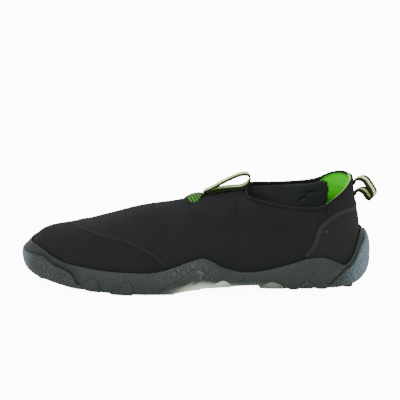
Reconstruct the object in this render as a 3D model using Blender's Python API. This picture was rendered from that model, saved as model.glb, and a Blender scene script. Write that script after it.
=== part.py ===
"""A pull-on water shoe for the left foot: rubber cup sole, hollow stretch upper, ribbon pull loops.

The toe points to -X, the heel to +X and the outer side of the foot to -Y. The sole rests on z = 0.
The origin is the middle of the heel's centre lug. In the tables, positions along the shoe are
shares of LENGTH from the toe, positions across it are shares of BALL_WIDTH, and heights and the
insets from the sole's outline are shares of HEEL_HEIGHT.
"""

import math
from collections import namedtuple

import bpy
import numpy as np

# Driving sizes
LENGTH = 0.285
BALL_WIDTH = 0.104
HEEL_HEIGHT = 0.0852
REST_ALONG = 0.86
GAP = 0.0005

# Sole
LUG_HEIGHT = 0.0025
LUG_SINK = 0.0012
RAND_LIP = 0.0018
STEP_RISE = 0.0005
BUMPER_PROUD = 0.0016
PAD_PROUD = 0.0010
PAD_SINK = 0.0012
PAD_FOOT = 0.0050

# Insole
INSOLE_THICKNESS = 0.0035
INSOLE_DISH = 0.0012
INSOLE_RIM = 0.010

# Upper. RIDGE_SLOPE is its climb over the toes, FLARE how far the collar's ribs lean out at the top
WALL = 0.0026
RIDGE_SLOPE = 0.16
FLARE = 0.0022
RIB_BELLY = 0.0012
FRONT_ALONG = 0.60
SIDE_STATIONS = 50
STATION_SPREAD = 0.15
UPPER_SHARES = (0.13, 0.28, 0.44, 0.60, 0.75, 0.88, 1.0)

# Trim
BINDING_WIDTH = 0.0036
BINDING_HEIGHT = 0.0020
TOE_TAPE_WIDTH = 0.0024
COUNTER_TAPE_WIDTH = 0.0036
TAPE_THICKNESS = 0.0009
RIBBON_WIDTH = 0.011
RIBBON_THICKNESS = 0.0013
HEEL_LOOP_TURN = math.radians(30)
HEEL_LOOP_TILT = 0.27
INSTEP_LOOP_ACROSS = 0.0035
ANCHOR_REAR = 0.5245
ANCHOR_LENGTH = 0.0172
ANCHOR_WIDTH = 0.020
ANCHOR_OFFSET = 0.003
ANCHOR_RISE = 0.0025
ANCHOR_EDGE = 0.0010

# Outline of the sole at its widest: how far it reaches to the outer and the inner side
Plan = namedtuple("Plan", "along lateral medial")
PLAN = (
    Plan(0.00, 0.080, 0.080),
    Plan(0.01, -0.080, 0.232),
    Plan(0.04, -0.215, 0.345),
    Plan(0.09, -0.325, 0.418),
    Plan(0.16, -0.412, 0.457),
    Plan(0.25, -0.480, 0.476),
    Plan(0.35, -0.520, 0.458),
    Plan(0.45, -0.508, 0.400),
    Plan(0.55, -0.455, 0.332),
    Plan(0.65, -0.405, 0.303),
    Plan(0.75, -0.370, 0.318),
    Plan(0.84, -0.360, 0.341),
    Plan(0.91, -0.332, 0.327),
    Plan(0.96, -0.260, 0.268),
    Plan(0.99, -0.140, 0.146),
    Plan(1.00, 0.000, 0.000),
)

# Lengthwise profile of the sole: ground side of the lugs, floor of the cup, widest height of the
# wall, how far its lower edge rounds in and how far the upper's feather edge lies inside it
Profile = namedtuple("Profile", "along tread floor bulge edge feather")
PROFILE = (
    Profile(0.00, 0.0775, 0.2113, 0.2523, 0.0869, 0.0610),
    Profile(0.04, 0.0657, 0.1901, 0.2054, 0.0704, 0.0610),
    Profile(0.09, 0.0505, 0.1667, 0.1526, 0.0528, 0.0610),
    Profile(0.16, 0.0223, 0.1385, 0.1174, 0.0352, 0.0587),
    Profile(0.22, 0.0094, 0.1232, 0.0998, 0.0305, 0.0587),
    Profile(0.28, 0.0000, 0.1174, 0.0939, 0.0305, 0.0587),
    Profile(0.42, 0.0000, 0.1174, 0.0939, 0.0305, 0.0587),
    Profile(0.48, 0.0258, 0.1232, 0.1115, 0.0305, 0.0587),
    Profile(0.56, 0.0493, 0.1338, 0.1232, 0.0305, 0.0587),
    Profile(0.66, 0.0469, 0.1432, 0.1232, 0.0305, 0.0563),
    Profile(0.75, 0.0000, 0.1502, 0.1056, 0.0352, 0.0563),
    Profile(0.88, 0.0000, 0.1585, 0.1174, 0.0469, 0.0587),
    Profile(0.95, 0.0000, 0.1620, 0.1585, 0.0880, 0.0657),
    Profile(1.00, 0.0117, 0.1643, 0.2171, 0.1350, 0.0728),
)

# Top edge of the rubber: a wave along both sides, high at the toe and higher behind the heel.
# body tells how long the wall stays full before it leans in to that edge
Rand = namedtuple("Rand", "along height body")
RAND = (
    Rand(0.000, 0.3660, 2.2),
    Rand(0.050, 0.3560, 2.2),
    Rand(0.090, 0.3080, 2.2),
    Rand(0.125, 0.2775, 2.0),
    Rand(0.160, 0.2640, 2.0),
    Rand(0.240, 0.2400, 2.0),
    Rand(0.304, 0.2370, 2.0),
    Rand(0.390, 0.2463, 2.0),
    Rand(0.436, 0.2802, 2.0),
    Rand(0.485, 0.3337, 2.0),
    Rand(0.528, 0.3560, 2.0),
    Rand(0.577, 0.2722, 2.0),
    Rand(0.640, 0.2106, 2.0),
    Rand(0.684, 0.2127, 2.0),
    Rand(0.752, 0.2559, 2.0),
    Rand(0.820, 0.3232, 2.0),
    Rand(0.860, 0.3326, 2.0),
    Rand(0.903, 0.2840, 2.0),
    Rand(0.930, 0.2420, 2.2),
    Rand(0.955, 0.2900, 3.0),
    Rand(0.975, 0.3900, 4.0),
    Rand(0.990, 0.4950, 4.5),
    Rand(1.000, 0.5150, 4.5),
)

# Upper edge of the raised toe and heel bumpers, and how much of BUMPER_PROUD each place has
Step = namedtuple("Step", "along height proud")
STEP = (
    Step(0.000, 0.2950, 1.0),
    Step(0.056, 0.3130, 1.0),
    Step(0.090, 0.2600, 1.0),
    Step(0.130, 0.2212, 1.0),
    Step(0.153, 0.1750, 1.0),
    Step(0.168, 0.0980, 0.7),
    Step(0.185, 0.0939, 0.0),
    Step(0.400, 0.1174, 0.0),
    Step(0.600, 0.1350, 0.0),
    Step(0.860, 0.1291, 0.0),
    Step(0.882, 0.0700, 0.5),
    Step(0.900, 0.1230, 1.0),
    Step(0.920, 0.1780, 1.0),
    Step(0.942, 0.2360, 1.0),
    Step(0.960, 0.3100, 1.0),
    Step(1.000, 0.5100, 1.0),
)

# Where each rib of the upper ends: on the ridge over the toes, then on the collar's edge.
# reach is its share along, lay turns the rib's end from level (0) to upright (1) and ahead turns
# it from across the shoe (0) to along it (1), as at the front of the collar
Top = namedtuple("Top", "along reach lateral medial low high lay ahead")
TOP = (
    Top(0.000, 0.125, 0.085, 0.085, 0.5235, 0.5235, 0.00, 0.00),
    Top(0.040, 0.133, 0.085, 0.085, 0.5270, 0.5270, 0.00, 0.00),
    Top(0.090, 0.155, 0.085, 0.085, 0.5352, 0.5352, 0.00, 0.00),
    Top(0.160, 0.198, 0.085, 0.085, 0.5657, 0.5657, 0.00, 0.00),
    Top(0.250, 0.262, 0.080, 0.080, 0.6291, 0.6291, 0.00, 0.00),
    Top(0.350, 0.350, 0.070, 0.070, 0.7113, 0.7113, 0.00, 0.00),
    Top(0.450, 0.450, 0.055, 0.055, 0.7700, 0.7700, 0.00, 0.00),
    Top(0.550, 0.570, 0.035, 0.035, 0.8650, 0.8650, 0.00, 0.06),
    Top(0.600, 0.636, 0.020, 0.020, 0.8920, 0.8920, 0.00, 0.22),
    Top(0.625, 0.639, -0.082, 0.115, 0.8700, 0.8830, 0.16, 0.38),
    Top(0.650, 0.648, -0.165, 0.200, 0.8640, 0.8750, 0.34, 0.36),
    Top(0.678, 0.667, -0.222, 0.248, 0.8521, 0.8650, 0.54, 0.26),
    Top(0.710, 0.700, -0.260, 0.278, 0.8290, 0.8540, 0.74, 0.14),
    Top(0.750, 0.747, -0.280, 0.294, 0.7980, 0.8510, 0.88, 0.06),
    Top(0.800, 0.800, -0.284, 0.292, 0.7820, 0.8627, 0.95, 0.00),
    Top(0.860, 0.856, -0.270, 0.274, 0.7850, 0.8980, 1.00, 0.00),
    Top(0.910, 0.898, -0.230, 0.232, 0.8560, 0.9710, 1.00, 0.00),
    Top(0.950, 0.928, -0.165, 0.168, 0.9210, 1.0030, 1.00, 0.00),
    Top(0.980, 0.945, -0.088, 0.090, 0.9700, 1.0040, 1.00, 0.00),
    Top(1.000, 0.951, 0.000, 0.000, 1.0000, 1.0000, 1.00, 0.00),
)

# Raised rubber pads on the side of the sole, each from its front end to its rear end
Pad = namedtuple("Pad", "along low high")
PADS = (
    (Pad(0.184, 0.0400, 0.0840), Pad(0.189, 0.0380, 0.1290), Pad(0.198, 0.0360, 0.1580),
     Pad(0.208, 0.0350, 0.1690), Pad(0.218, 0.0340, 0.1620), Pad(0.226, 0.0330, 0.1330),
     Pad(0.230, 0.0340, 0.0850)),
    (Pad(0.258, 0.0200, 0.0420), Pad(0.270, 0.0200, 0.0840), Pad(0.286, 0.0200, 0.1180),
     Pad(0.302, 0.0200, 0.1480), Pad(0.315, 0.0200, 0.1560), Pad(0.325, 0.0200, 0.1080)),
    (Pad(0.394, 0.0399, 0.0560), Pad(0.412, 0.0446, 0.0960), Pad(0.436, 0.0560, 0.1450),
     Pad(0.459, 0.0740, 0.1920), Pad(0.480, 0.1030, 0.2450), Pad(0.498, 0.1330, 0.2690),
     Pad(0.512, 0.1600, 0.2660), Pad(0.522, 0.1930, 0.2410)),
    (Pad(0.533, 0.0728, 0.0900), Pad(0.552, 0.0728, 0.1200), Pad(0.576, 0.0728, 0.1500),
     Pad(0.592, 0.0728, 0.1320), Pad(0.606, 0.0728, 0.0900)),
    (Pad(0.683, 0.0440, 0.0640), Pad(0.696, 0.0400, 0.0940), Pad(0.717, 0.0340, 0.1140),
     Pad(0.738, 0.0300, 0.0900), Pad(0.752, 0.0280, 0.0560)),
    (Pad(0.798, 0.0260, 0.0480), Pad(0.806, 0.0260, 0.0900), Pad(0.817, 0.0260, 0.1120),
     Pad(0.828, 0.0260, 0.0880), Pad(0.835, 0.0260, 0.0500)),
)

# Tread: rows of three lugs. length and width, as shares of LENGTH and BALL_WIDTH, are of the middle
# lug, and spread places the outer two
Row = namedtuple("Row", "along length width spread")
TREAD = (
    Row(0.060, 0.0386, 0.1731, 0.54),
    Row(0.130, 0.0456, 0.2115, 0.60),
    Row(0.205, 0.0491, 0.2308, 0.62),
    Row(0.275, 0.0491, 0.2404, 0.63),
    Row(0.350, 0.0561, 0.2500, 0.64),
    Row(0.425, 0.0491, 0.2404, 0.64),
    Row(0.500, 0.0456, 0.2115, 0.62),
    Row(0.700, 0.0456, 0.1731, 0.62),
    Row(0.780, 0.0491, 0.1827, 0.62),
    Row(0.860, 0.0561, 0.1923, 0.62),
    Row(0.935, 0.0386, 0.1731, 0.56),
)
LUG_TAPER = 0.86
SIDE_LUG_SIZE = 0.86
SIDE_LUG_TURN = 0.35

# Paths on the upper: rib, and share of the way from the rubber's edge to the rib's end
Spot = namedtuple("Spot", "along share")
TOE_SEAM = (
    Spot(0.418, 0.03),
    Spot(0.389, 0.16),
    Spot(0.350, 0.26),
    Spot(0.300, 0.36),
    Spot(0.240, 0.45),
    Spot(0.180, 0.58),
    Spot(0.120, 0.78),
    Spot(0.078, 1.00),
)
COUNTER_SEAM = (
    Spot(0.815, 0.05),
    Spot(0.838, 0.24),
    Spot(0.848, 0.44),
    Spot(0.859, 0.62),
    Spot(0.877, 0.715),
    Spot(0.900, 0.760),
    Spot(0.930, 0.770),
    Spot(0.957, 0.710),
    Spot(0.980, 0.600),
    Spot(1.000, 0.500),
)

# Side views of the two ribbon loops, as shares along and heights
Bend = namedtuple("Bend", "along height")
INSTEP_LOOP = (
    Bend(0.5282, 0.8498),
    Bend(0.5388, 0.8592),
    Bend(0.5531, 0.8815),
    Bend(0.5761, 0.8979),
    Bend(0.5990, 0.9085),
    Bend(0.6191, 0.9120),
    Bend(0.6363, 0.9225),
    Bend(0.6491, 0.9472),
    Bend(0.6562, 0.9847),
    Bend(0.6561, 1.0176),
    Bend(0.6492, 1.0387),
    Bend(0.6374, 1.0411),
    Bend(0.6189, 1.0246),
    Bend(0.5989, 0.9941),
    Bend(0.5760, 0.9554),
    Bend(0.5531, 0.9096),
    Bend(0.5359, 0.8826),
    Bend(0.5273, 0.8709),
)
HEEL_LOOP = (
    Bend(0.9590, 0.8640),
    Bend(0.9676, 0.8920),
    Bend(0.9796, 0.8953),
    Bend(0.9900, 0.8704),
    Bend(0.9983, 0.8305),
    Bend(1.0066, 0.8100),
    Bend(1.0131, 0.8480),
    Bend(1.0078, 0.8983),
    Bend(0.9985, 0.9451),
    Bend(0.9889, 0.9907),
    Bend(0.9763, 1.0115),
    Bend(0.9640, 1.0011),
    Bend(0.9556, 0.9710),
)
LOOP_STEPS = 26

RUBBER = ((0.062, 0.070, 0.069), 0.55)
CLOTH = ((0.021, 0.022, 0.022), 0.85)
TAPE = ((0.040, 0.041, 0.041), 0.70)
RIBBON = ((0.45, 0.58, 0.22), 0.75)
BLACK_WEB = ((0.016, 0.017, 0.015), 0.80)
FOAM = ((0.025, 0.027, 0.026), 0.90)


def turn_of(along):
    """Angle round the shoe for a share of the length: 0 at the toe, pi at the heel."""
    return np.arccos(1 - 2 * np.clip(along, 0.0, 1.0))


def slopes_of(x, y, steady):
    """Slope at each inner point. A steady curve never runs past its points."""
    step = np.diff(x)
    rate = np.diff(y) / step
    before, after = rate[:-1], rate[1:]
    mixed = (before * step[1:] + after * step[:-1]) / (step[1:] + step[:-1])
    if steady:
        both = before * after
        total = np.where(both > 0, before + after, 1.0)
        mixed = np.where(both > 0, 2 * both / total, 0.0)
    return mixed


def hermite(x, y, steady, at):
    slope = np.concatenate([[0.0], slopes_of(x, y, steady), [0.0]])
    i = np.clip(np.searchsorted(x, at, side="right") - 1, 0, len(x) - 2)
    step = x[i + 1] - x[i]
    t = (at - x[i]) / step
    rise = t * t * (3 - 2 * t)
    leave = t * (1 - t) ** 2 * step * slope[i]
    arrive = t * t * (t - 1) * step * slope[i + 1]
    return y[i] + (y[i + 1] - y[i]) * rise + leave + arrive


def ring(rows, lateral, medial, size=1.0, steady=False):
    """A smooth closed run of values round the shoe, from the columns of its two sides."""
    turns = turn_of(np.array([row.along for row in rows]))
    outer = np.array([getattr(row, lateral) for row in rows]) * size
    inner = np.array([getattr(row, medial) for row in rows]) * size
    x = np.concatenate([turns, 2 * np.pi - turns[-2:0:-1]])
    y = np.concatenate([outer, inner[-2:0:-1]])
    x = np.concatenate([x[-3:] - 2 * np.pi, x, x[:3] + 2 * np.pi])
    y = np.concatenate([y[-3:], y, y[:3]])
    return lambda turn: hermite(x, y, steady, np.asarray(turn, float) % (2 * np.pi))


reach_across = ring(PLAN, "lateral", "medial", BALL_WIDTH)
tread_height = ring(PROFILE, "tread", "tread", HEEL_HEIGHT, steady=True)
floor_height = ring(PROFILE, "floor", "floor", HEEL_HEIGHT, steady=True)
bulge_height = ring(PROFILE, "bulge", "bulge", HEEL_HEIGHT, steady=True)
edge_inset = ring(PROFILE, "edge", "edge", HEEL_HEIGHT, steady=True)
feather_inset = ring(PROFILE, "feather", "feather", HEEL_HEIGHT, steady=True)
rand_height = ring(RAND, "height", "height", HEEL_HEIGHT)
rand_body = ring(RAND, "body", "body", steady=True)
step_height = ring(STEP, "height", "height", HEEL_HEIGHT, steady=True)
step_proud = ring(STEP, "proud", "proud", steady=True)
top_reach = ring(TOP, "reach", "reach")
top_across = ring(TOP, "lateral", "medial", BALL_WIDTH)
top_height = ring(TOP, "low", "high", HEEL_HEIGHT)
top_lay = ring(TOP, "lay", "lay", steady=True)
top_ahead = ring(TOP, "ahead", "ahead", steady=True)


def x_of(along):
    return (np.asarray(along, float) - REST_ALONG) * LENGTH


def along_of(turn):
    return (1 - np.cos(turn)) / 2


def plan_point(turn):
    """Point of the sole's outline, and the level direction that faces out of it."""
    turn = np.asarray(turn, float)
    small = 1e-4
    here = np.stack([x_of(along_of(turn)), reach_across(turn)], -1)
    ahead = np.stack([x_of(along_of(turn + small)), reach_across(turn + small)], -1)
    back = np.stack([x_of(along_of(turn - small)), reach_across(turn - small)], -1)
    run = ahead - back
    run /= np.linalg.norm(run, axis=-1, keepdims=True)
    return here, np.stack([run[..., 1], -run[..., 0]], -1)


def with_height(level, height):
    return np.concatenate([level, np.broadcast_to(height, level.shape[:-1])[..., None]], -1)


def rib_handles(turn):
    """The four points of each rib's curve, from the feather edge to the ridge or the collar."""
    turn = np.asarray(turn, float)
    outline, out = plan_point(turn)
    foot = with_height(outline - out * feather_inset(turn)[..., None], floor_height(turn) + GAP)
    mirror = 2 * np.pi - turn
    side = np.minimum(turn, mirror)
    on_ridge = side <= turn_of(FRONT_ALONG) + 1e-6
    across = np.where(on_ridge, (top_across(turn) + top_across(mirror)) / 2, top_across(turn))
    height = np.where(on_ridge, (top_height(turn) + top_height(mirror)) / 2, top_height(turn))
    reach = top_reach(turn)
    top = np.stack([x_of(reach), across, height], -1)
    away = foot[..., :2] - top[..., :2]
    span = np.linalg.norm(away, axis=-1)
    away = away / span[..., None]
    ahead = top_ahead(turn)[..., None]
    away = away * (1 - ahead) + np.array([-1.0, 0.0]) * ahead
    away = away / np.linalg.norm(away, axis=-1, keepdims=True)
    rise = height - foot[..., 2]
    lay = top_lay(turn) * np.pi / 2
    level = np.cos(lay) * span * (0.60 - 0.22 * ahead[..., 0])
    drop = np.sin(lay) * rise * 0.34 - np.cos(lay) * level * RIDGE_SLOPE * away[..., 0]
    spread = np.sin(lay) * FLARE
    near_top = top.copy()
    near_top[..., :2] += away * (level + spread)[..., None]
    near_top[..., 2] -= drop
    near_foot = foot.copy()
    near_foot[..., :2] += out * (RIB_BELLY * np.sin(side))[..., None]
    near_foot[..., 2] += rise * (0.80 - 0.24 * np.sin(side) - 0.16 * np.sin(lay))
    return foot, near_foot, near_top, top


def bezier(handles, t):
    a, b, c, d = handles
    t = np.asarray(t, float)[..., None]
    return a * (1 - t) ** 3 + 3 * b * t * (1 - t) ** 2 + 3 * c * t * t * (1 - t) + d * t**3


def rib_runs(turns):
    """Each rib sampled closely: its points and its run of lengths."""
    handles = rib_handles(turns)
    t = np.linspace(0, 1, 81)
    points = np.stack([bezier(handles, np.full(len(turns), value)) for value in t], 1)
    steps = np.linalg.norm(np.diff(points, axis=1), axis=-1)
    lengths = np.concatenate([np.zeros((len(turns), 1)), np.cumsum(steps, axis=1)], axis=1)
    return points, lengths


def on_rib(points, lengths, length):
    return np.array([np.interp(length, lengths, points[:, i]) for i in range(3)])


def upper_rows(turns):
    """The upper's outer face: for each rib, three rows inside the rubber and the rest above it."""
    points, lengths = rib_runs(turns)
    rows = []
    for i, turn in enumerate(turns):
        edge = np.interp(rand_height(turn), points[i, :, 2], lengths[i])
        spots = [0.0, edge / 2, edge]
        spots += [edge + (lengths[i, -1] - edge) * share for share in UPPER_SHARES]
        rows.append([on_rib(points[i], lengths[i], spot) for spot in spots])
    return np.array(rows)


def skin(turn, share):
    """Point of the upper's outer face by rib and by share of the way above the rubber."""
    points, lengths = rib_runs(np.array([turn]))
    edge = np.interp(rand_height(turn), points[0, :, 2], lengths[0])
    return on_rib(points[0], lengths[0], edge + (lengths[0, -1] - edge) * share)


def skin_normal(turn, share):
    small = 0.01
    low, high = max(share - small, 0.0), min(share + small, 0.995)
    up = skin(turn, high) - skin(turn, low)
    around = skin(turn + small, min(share, 0.99)) - skin(turn - small, min(share, 0.99))
    normal = np.cross(around, up)
    return normal / np.linalg.norm(normal)


def stations():
    """Angles of the ribs: closer together along the sides, where the rubber's edge waves."""
    even = np.arange(2 * SIDE_STATIONS) * np.pi / SIDE_STATIONS
    return even + STATION_SPREAD * np.sin(2 * even)


TURNS = stations()
COUNT = len(TURNS)
FRONT = int(np.argmin(np.abs(TURNS[: SIDE_STATIONS + 1] - turn_of(FRONT_ALONG))))


def across_from(k):
    return (COUNT - k) % COUNT


def on_ridge_station(k):
    return min(k, COUNT - k) < FRONT or k in (FRONT, COUNT - FRONT)


def triangles(quad):
    a, b, c, d = quad
    found = []
    for face in ((a, b, c), (a, c, d)):
        if len(set(face)) == 3:
            found.append(face)
    return found


def strip(low, high):
    """Faces between two closed loops of point numbers."""
    faces = []
    n = len(low)
    for k in range(n):
        m = (k + 1) % n
        faces += triangles((low[k], low[m], high[m], high[k]))
    return faces


def ladder(loop, upward):
    """Fills a loop by joining each point to the one across the shoe."""
    faces = []
    for k in range(SIDE_STATIONS):
        quad = (loop[k], loop[k + 1], loop[across_from(k + 1)], loop[across_from(k)])
        faces += triangles(quad if upward else quad[::-1])
    return faces


def vertex_normals(points, faces):
    normals = np.zeros_like(points)
    corners = np.array(faces)
    a, b, c = (points[corners[:, i]] for i in range(3))
    face = np.cross(b - a, c - a)
    for i in range(3):
        np.add.at(normals, corners[:, i], face)
    return normals / np.linalg.norm(normals, axis=1, keepdims=True)


def material(name, look):
    colour, roughness = look
    made = bpy.data.materials.get(name) or bpy.data.materials.new(name)
    made.use_nodes = True
    shader = made.node_tree.nodes["Principled BSDF"]
    shader.inputs["Base Color"].default_value = (*colour, 1)
    shader.inputs["Roughness"].default_value = roughness
    shader.inputs["Metallic"].default_value = 0.0
    made.diffuse_color = (*colour, 1)
    return made


def solid(name, points, faces, look=None, sharp=40):
    mesh = bpy.data.meshes.new(name)
    mesh.from_pydata([tuple(p) for p in points], [], [tuple(int(i) for i in f) for f in faces])
    mesh.update()
    mesh.shade_smooth()
    mesh.set_sharp_from_angle(angle=math.radians(sharp))
    made = bpy.data.objects.new(name, mesh)
    bpy.context.scene.collection.objects.link(made)
    if look:
        made.data.materials.append(material(name + "_look", look))
    return made


def upper_skin():
    """Points, faces and point numbers of the upper's outer face, its ridge shared by both sides."""
    grid = upper_rows(TURNS)
    rows = grid.shape[1]
    number = np.full((COUNT, rows), -1, int)
    points = []
    for k in range(COUNT):
        for r in range(rows):
            twin = across_from(k)
            if r == rows - 1 and twin < k and on_ridge_station(k):
                number[k, r] = number[twin, r]
                continue
            number[k, r] = len(points)
            points.append(grid[k, r])
    faces = []
    for r in range(rows - 1):
        faces += strip(number[:, r], number[:, r + 1])
    return np.array(points), faces, number


SKIN_POINTS, SKIN_FACES, SKIN_NUMBER = upper_skin()
SKIN_NORMALS = vertex_normals(SKIN_POINTS, SKIN_FACES)


def collar_loop():
    """Point numbers of the collar's edge: lateral side from the front to the heel, medial side back."""
    top = SKIN_NUMBER[:, -1]
    return [top[k] for k in range(FRONT, COUNT - FRONT)]


def make_upper():
    inner = SKIN_POINTS - SKIN_NORMALS * WALL
    lowest = SKIN_NUMBER[:, 0]
    inner[lowest, 2] = SKIN_POINTS[lowest, 2]
    shift = len(SKIN_POINTS)
    points = np.concatenate([SKIN_POINTS, inner])
    faces = list(SKIN_FACES)
    faces += [tuple(i + shift for i in face[::-1]) for face in SKIN_FACES]
    faces += strip(lowest + shift, lowest)
    collar = np.array(collar_loop())
    faces += strip(collar, collar + shift)
    return solid("upper", points, faces, CLOTH)


def wall_point(turn, height, rim):
    """Outer face of the sole at a height: round below its widest place, leaning to the rim above."""
    outline, out = plan_point(turn)
    base = tread_height(turn) + LUG_HEIGHT
    widest = bulge_height(turn)
    if height < widest:
        depth = np.clip((widest - height) / (widest - base), 0, 1)
        level = outline - out * edge_inset(turn) * (1 - math.sqrt(max(0.0, 1 - depth * depth)))
    else:
        lean = ((height - widest) / (rim[2] - widest)) ** rand_body(turn)
        level = outline + (rim[:2] - outline) * lean
    return np.array([*level, height]), np.array([*out, 0.0])


def wall_rings(k):
    """The sole's closed section at one station, from the ground side over the rim to the floor."""
    turn = TURNS[k]
    normal = SKIN_NORMALS[SKIN_NUMBER[k]]
    face = SKIN_POINTS[SKIN_NUMBER[k]]
    rim = face[2] + normal[2] * (GAP + RAND_LIP)
    base = float(tread_height(turn) + LUG_HEIGHT)
    step = float(step_height(turn))
    step = min(step, rim[2] - 4 * STEP_RISE)
    proud = float(step_proud(turn)) * BUMPER_PROUD
    heights = [base, base + (step - base) * 0.22, base + (step - base) * 0.6, step - STEP_RISE]
    section = []
    for height in heights:
        point, out = wall_point(turn, height, rim)
        section.append(point + out * proud)
    for height in (step + STEP_RISE, (step + STEP_RISE + rim[2]) / 2):
        section.append(wall_point(turn, height, rim)[0])
    section.append(rim)
    section.append(face[2] + normal[2] * GAP)
    section.append(face[1] + normal[1] * GAP)
    foot = face[0] + normal[0] * GAP
    foot[2] = floor_height(turn)
    section.append(foot)
    return section


def make_sole_body():
    sections = np.array([wall_rings(k) for k in range(COUNT)])
    rings = sections.shape[1]
    number = np.arange(COUNT * rings).reshape(COUNT, rings)
    faces = []
    for r in range(rings - 1):
        faces += strip(number[:, r], number[:, r + 1])
    faces += ladder(number[:, 0], upward=False)
    faces += ladder(number[:, -1], upward=True)
    return sections.reshape(-1, 3), faces, sections


def lug_body(outline, low, high):
    """A closed lug, narrower at its lower face. low and high give the height at a point."""
    n = len(outline)
    centre = outline.mean(0)
    bottom = centre + (outline - centre) * LUG_TAPER
    points = [[*p, low(p)] for p in bottom]
    points += [[*p, high(p)] for p in outline]
    faces = [(0, i + 1, i) for i in range(1, n - 1)]
    faces += [(n, n + i, n + i + 1) for i in range(1, n - 1)]
    for i in range(n):
        j = (i + 1) % n
        faces += [(i, j, n + j), (i, n + j, n + i)]
    return np.array(points), faces


def lug_outline(centre, length, width, turn):
    """A six-sided leaf, long across the shoe."""
    shares = ((-0.5, -0.28), (0.0, -0.5), (0.5, -0.28), (0.5, 0.28), (0.0, 0.5), (-0.5, 0.28))
    found = []
    for along, across in shares:
        x, y = along * length, across * width
        cos, sin = math.cos(turn), math.sin(turn)
        found.append([centre[0] + x * cos - y * sin, centre[1] + x * sin + y * cos])
    return np.array(found)


def ground_at(point):
    along = point[0] / LENGTH + REST_ALONG
    return float(tread_height(turn_of(along)))


def root_at(point):
    return ground_at(point) + LUG_HEIGHT + LUG_SINK


def tread_bodies():
    bodies = []
    for row in TREAD:
        turn = turn_of(row.along)
        lateral, medial = (float(reach_across(a)) for a in (turn, 2 * np.pi - turn))
        middle = 0.0 if row.along == REST_ALONG else (lateral + medial) / 2
        half = (medial - lateral) / 2
        for side in (-1, 0, 1):
            centre = np.array([x_of(row.along), middle + side * row.spread * half])
            size = 1.0 if side == 0 else SIDE_LUG_SIZE
            length, width = row.length * LENGTH * size, row.width * BALL_WIDTH * size
            outline = lug_outline(centre, length, width, -side * SIDE_LUG_TURN)
            bodies.append(lug_body(outline, ground_at, root_at))
    return bodies


def section_point(sections, turn, height):
    """Outer face of the finished sole wall at any angle and height, and its level outward direction."""
    k = int(np.searchsorted(TURNS, turn, side="right") - 1)
    after = (k + 1) % COUNT
    end = TURNS[after] if after else 2 * np.pi
    share = (turn - TURNS[k]) / (end - TURNS[k])
    found = []
    for station in (k, after):
        outer = sections[station, :7]
        found.append([np.interp(height, outer[:, 2], outer[:, i]) for i in range(2)])
    level = np.array(found[0]) * (1 - share) + np.array(found[1]) * share
    return np.array([*level, height]), np.array([*plan_point(turn)[1], 0.0])


def pad_body(sections, rows, medial):
    """A closed pad that follows the wall and stands proud of it. One that reaches the ground has a foot."""
    grid = []
    for row in rows:
        turn = turn_of(row.along)
        turn = 2 * np.pi - turn if medial else turn
        low, high = row.low * HEEL_HEIGHT, row.high * HEEL_HEIGHT
        chamfer = min(PAD_PROUD, (high - low) * 0.35)
        reaches_ground = low < float(tread_height(turn)) + LUG_HEIGHT
        root = PAD_FOOT if reaches_ground else PAD_SINK
        ring_points = []
        for height, depth in (
            (low, -root),
            (low, 0.0 if reaches_ground else -PAD_SINK * 0.5),
            (low + chamfer, PAD_PROUD),
            (high - chamfer, PAD_PROUD),
            (high, -PAD_SINK * 0.5),
            (high, -PAD_SINK),
        ):
            point, out = section_point(sections, float(turn), height)
            ring_points.append(point + out * depth)
        grid.append(ring_points)
    if medial:
        grid = [ring_points[::-1] for ring_points in grid]
    return swept(np.array(grid))


def swept(grid):
    """Closed body from a run of closed sections, capped at both ends."""
    runs, n = grid.shape[:2]
    points = grid.reshape(-1, 3)
    faces = []
    for i in range(runs - 1):
        low = [i * n + j for j in range(n)]
        high = [(i + 1) * n + j for j in range(n)]
        faces += strip(low, high)
    faces += [(0, j + 1, j) for j in range(1, n - 1)]
    last = (runs - 1) * n
    faces += [(last, last + j, last + j + 1) for j in range(1, n - 1)]
    return points, facing_out(points, faces)


def facing_out(points, faces):
    corners = np.array(faces)
    a, b, c = (points[corners[:, i]] for i in range(3))
    if np.einsum("ij,ij->i", a, np.cross(b, c)).sum() < 0:
        return [face[::-1] for face in faces]
    return faces


def joined(bodies):
    points, faces, shift = [], [], 0
    for body_points, body_faces in bodies:
        points.append(body_points)
        faces += [tuple(i + shift for i in face) for face in facing_out(body_points, body_faces)]
        shift += len(body_points)
    return np.concatenate(points), faces


def make_outsole():
    points, faces, sections = make_sole_body()
    sole = solid("outsole", points, faces, RUBBER)
    bodies = tread_bodies()
    for rows in PADS:
        bodies += [pad_body(sections, rows, medial) for medial in (False, True)]
    lug_points, lug_faces = joined(bodies)
    lugs = solid("sole_lugs_form", lug_points, lug_faces)
    lugs.hide_render = True
    lugs.display_type = "WIRE"
    union = sole.modifiers.new("lugs", "BOOLEAN")
    union.operation = "UNION"
    union.solver = "EXACT"
    union.object = lugs
    return sole


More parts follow.
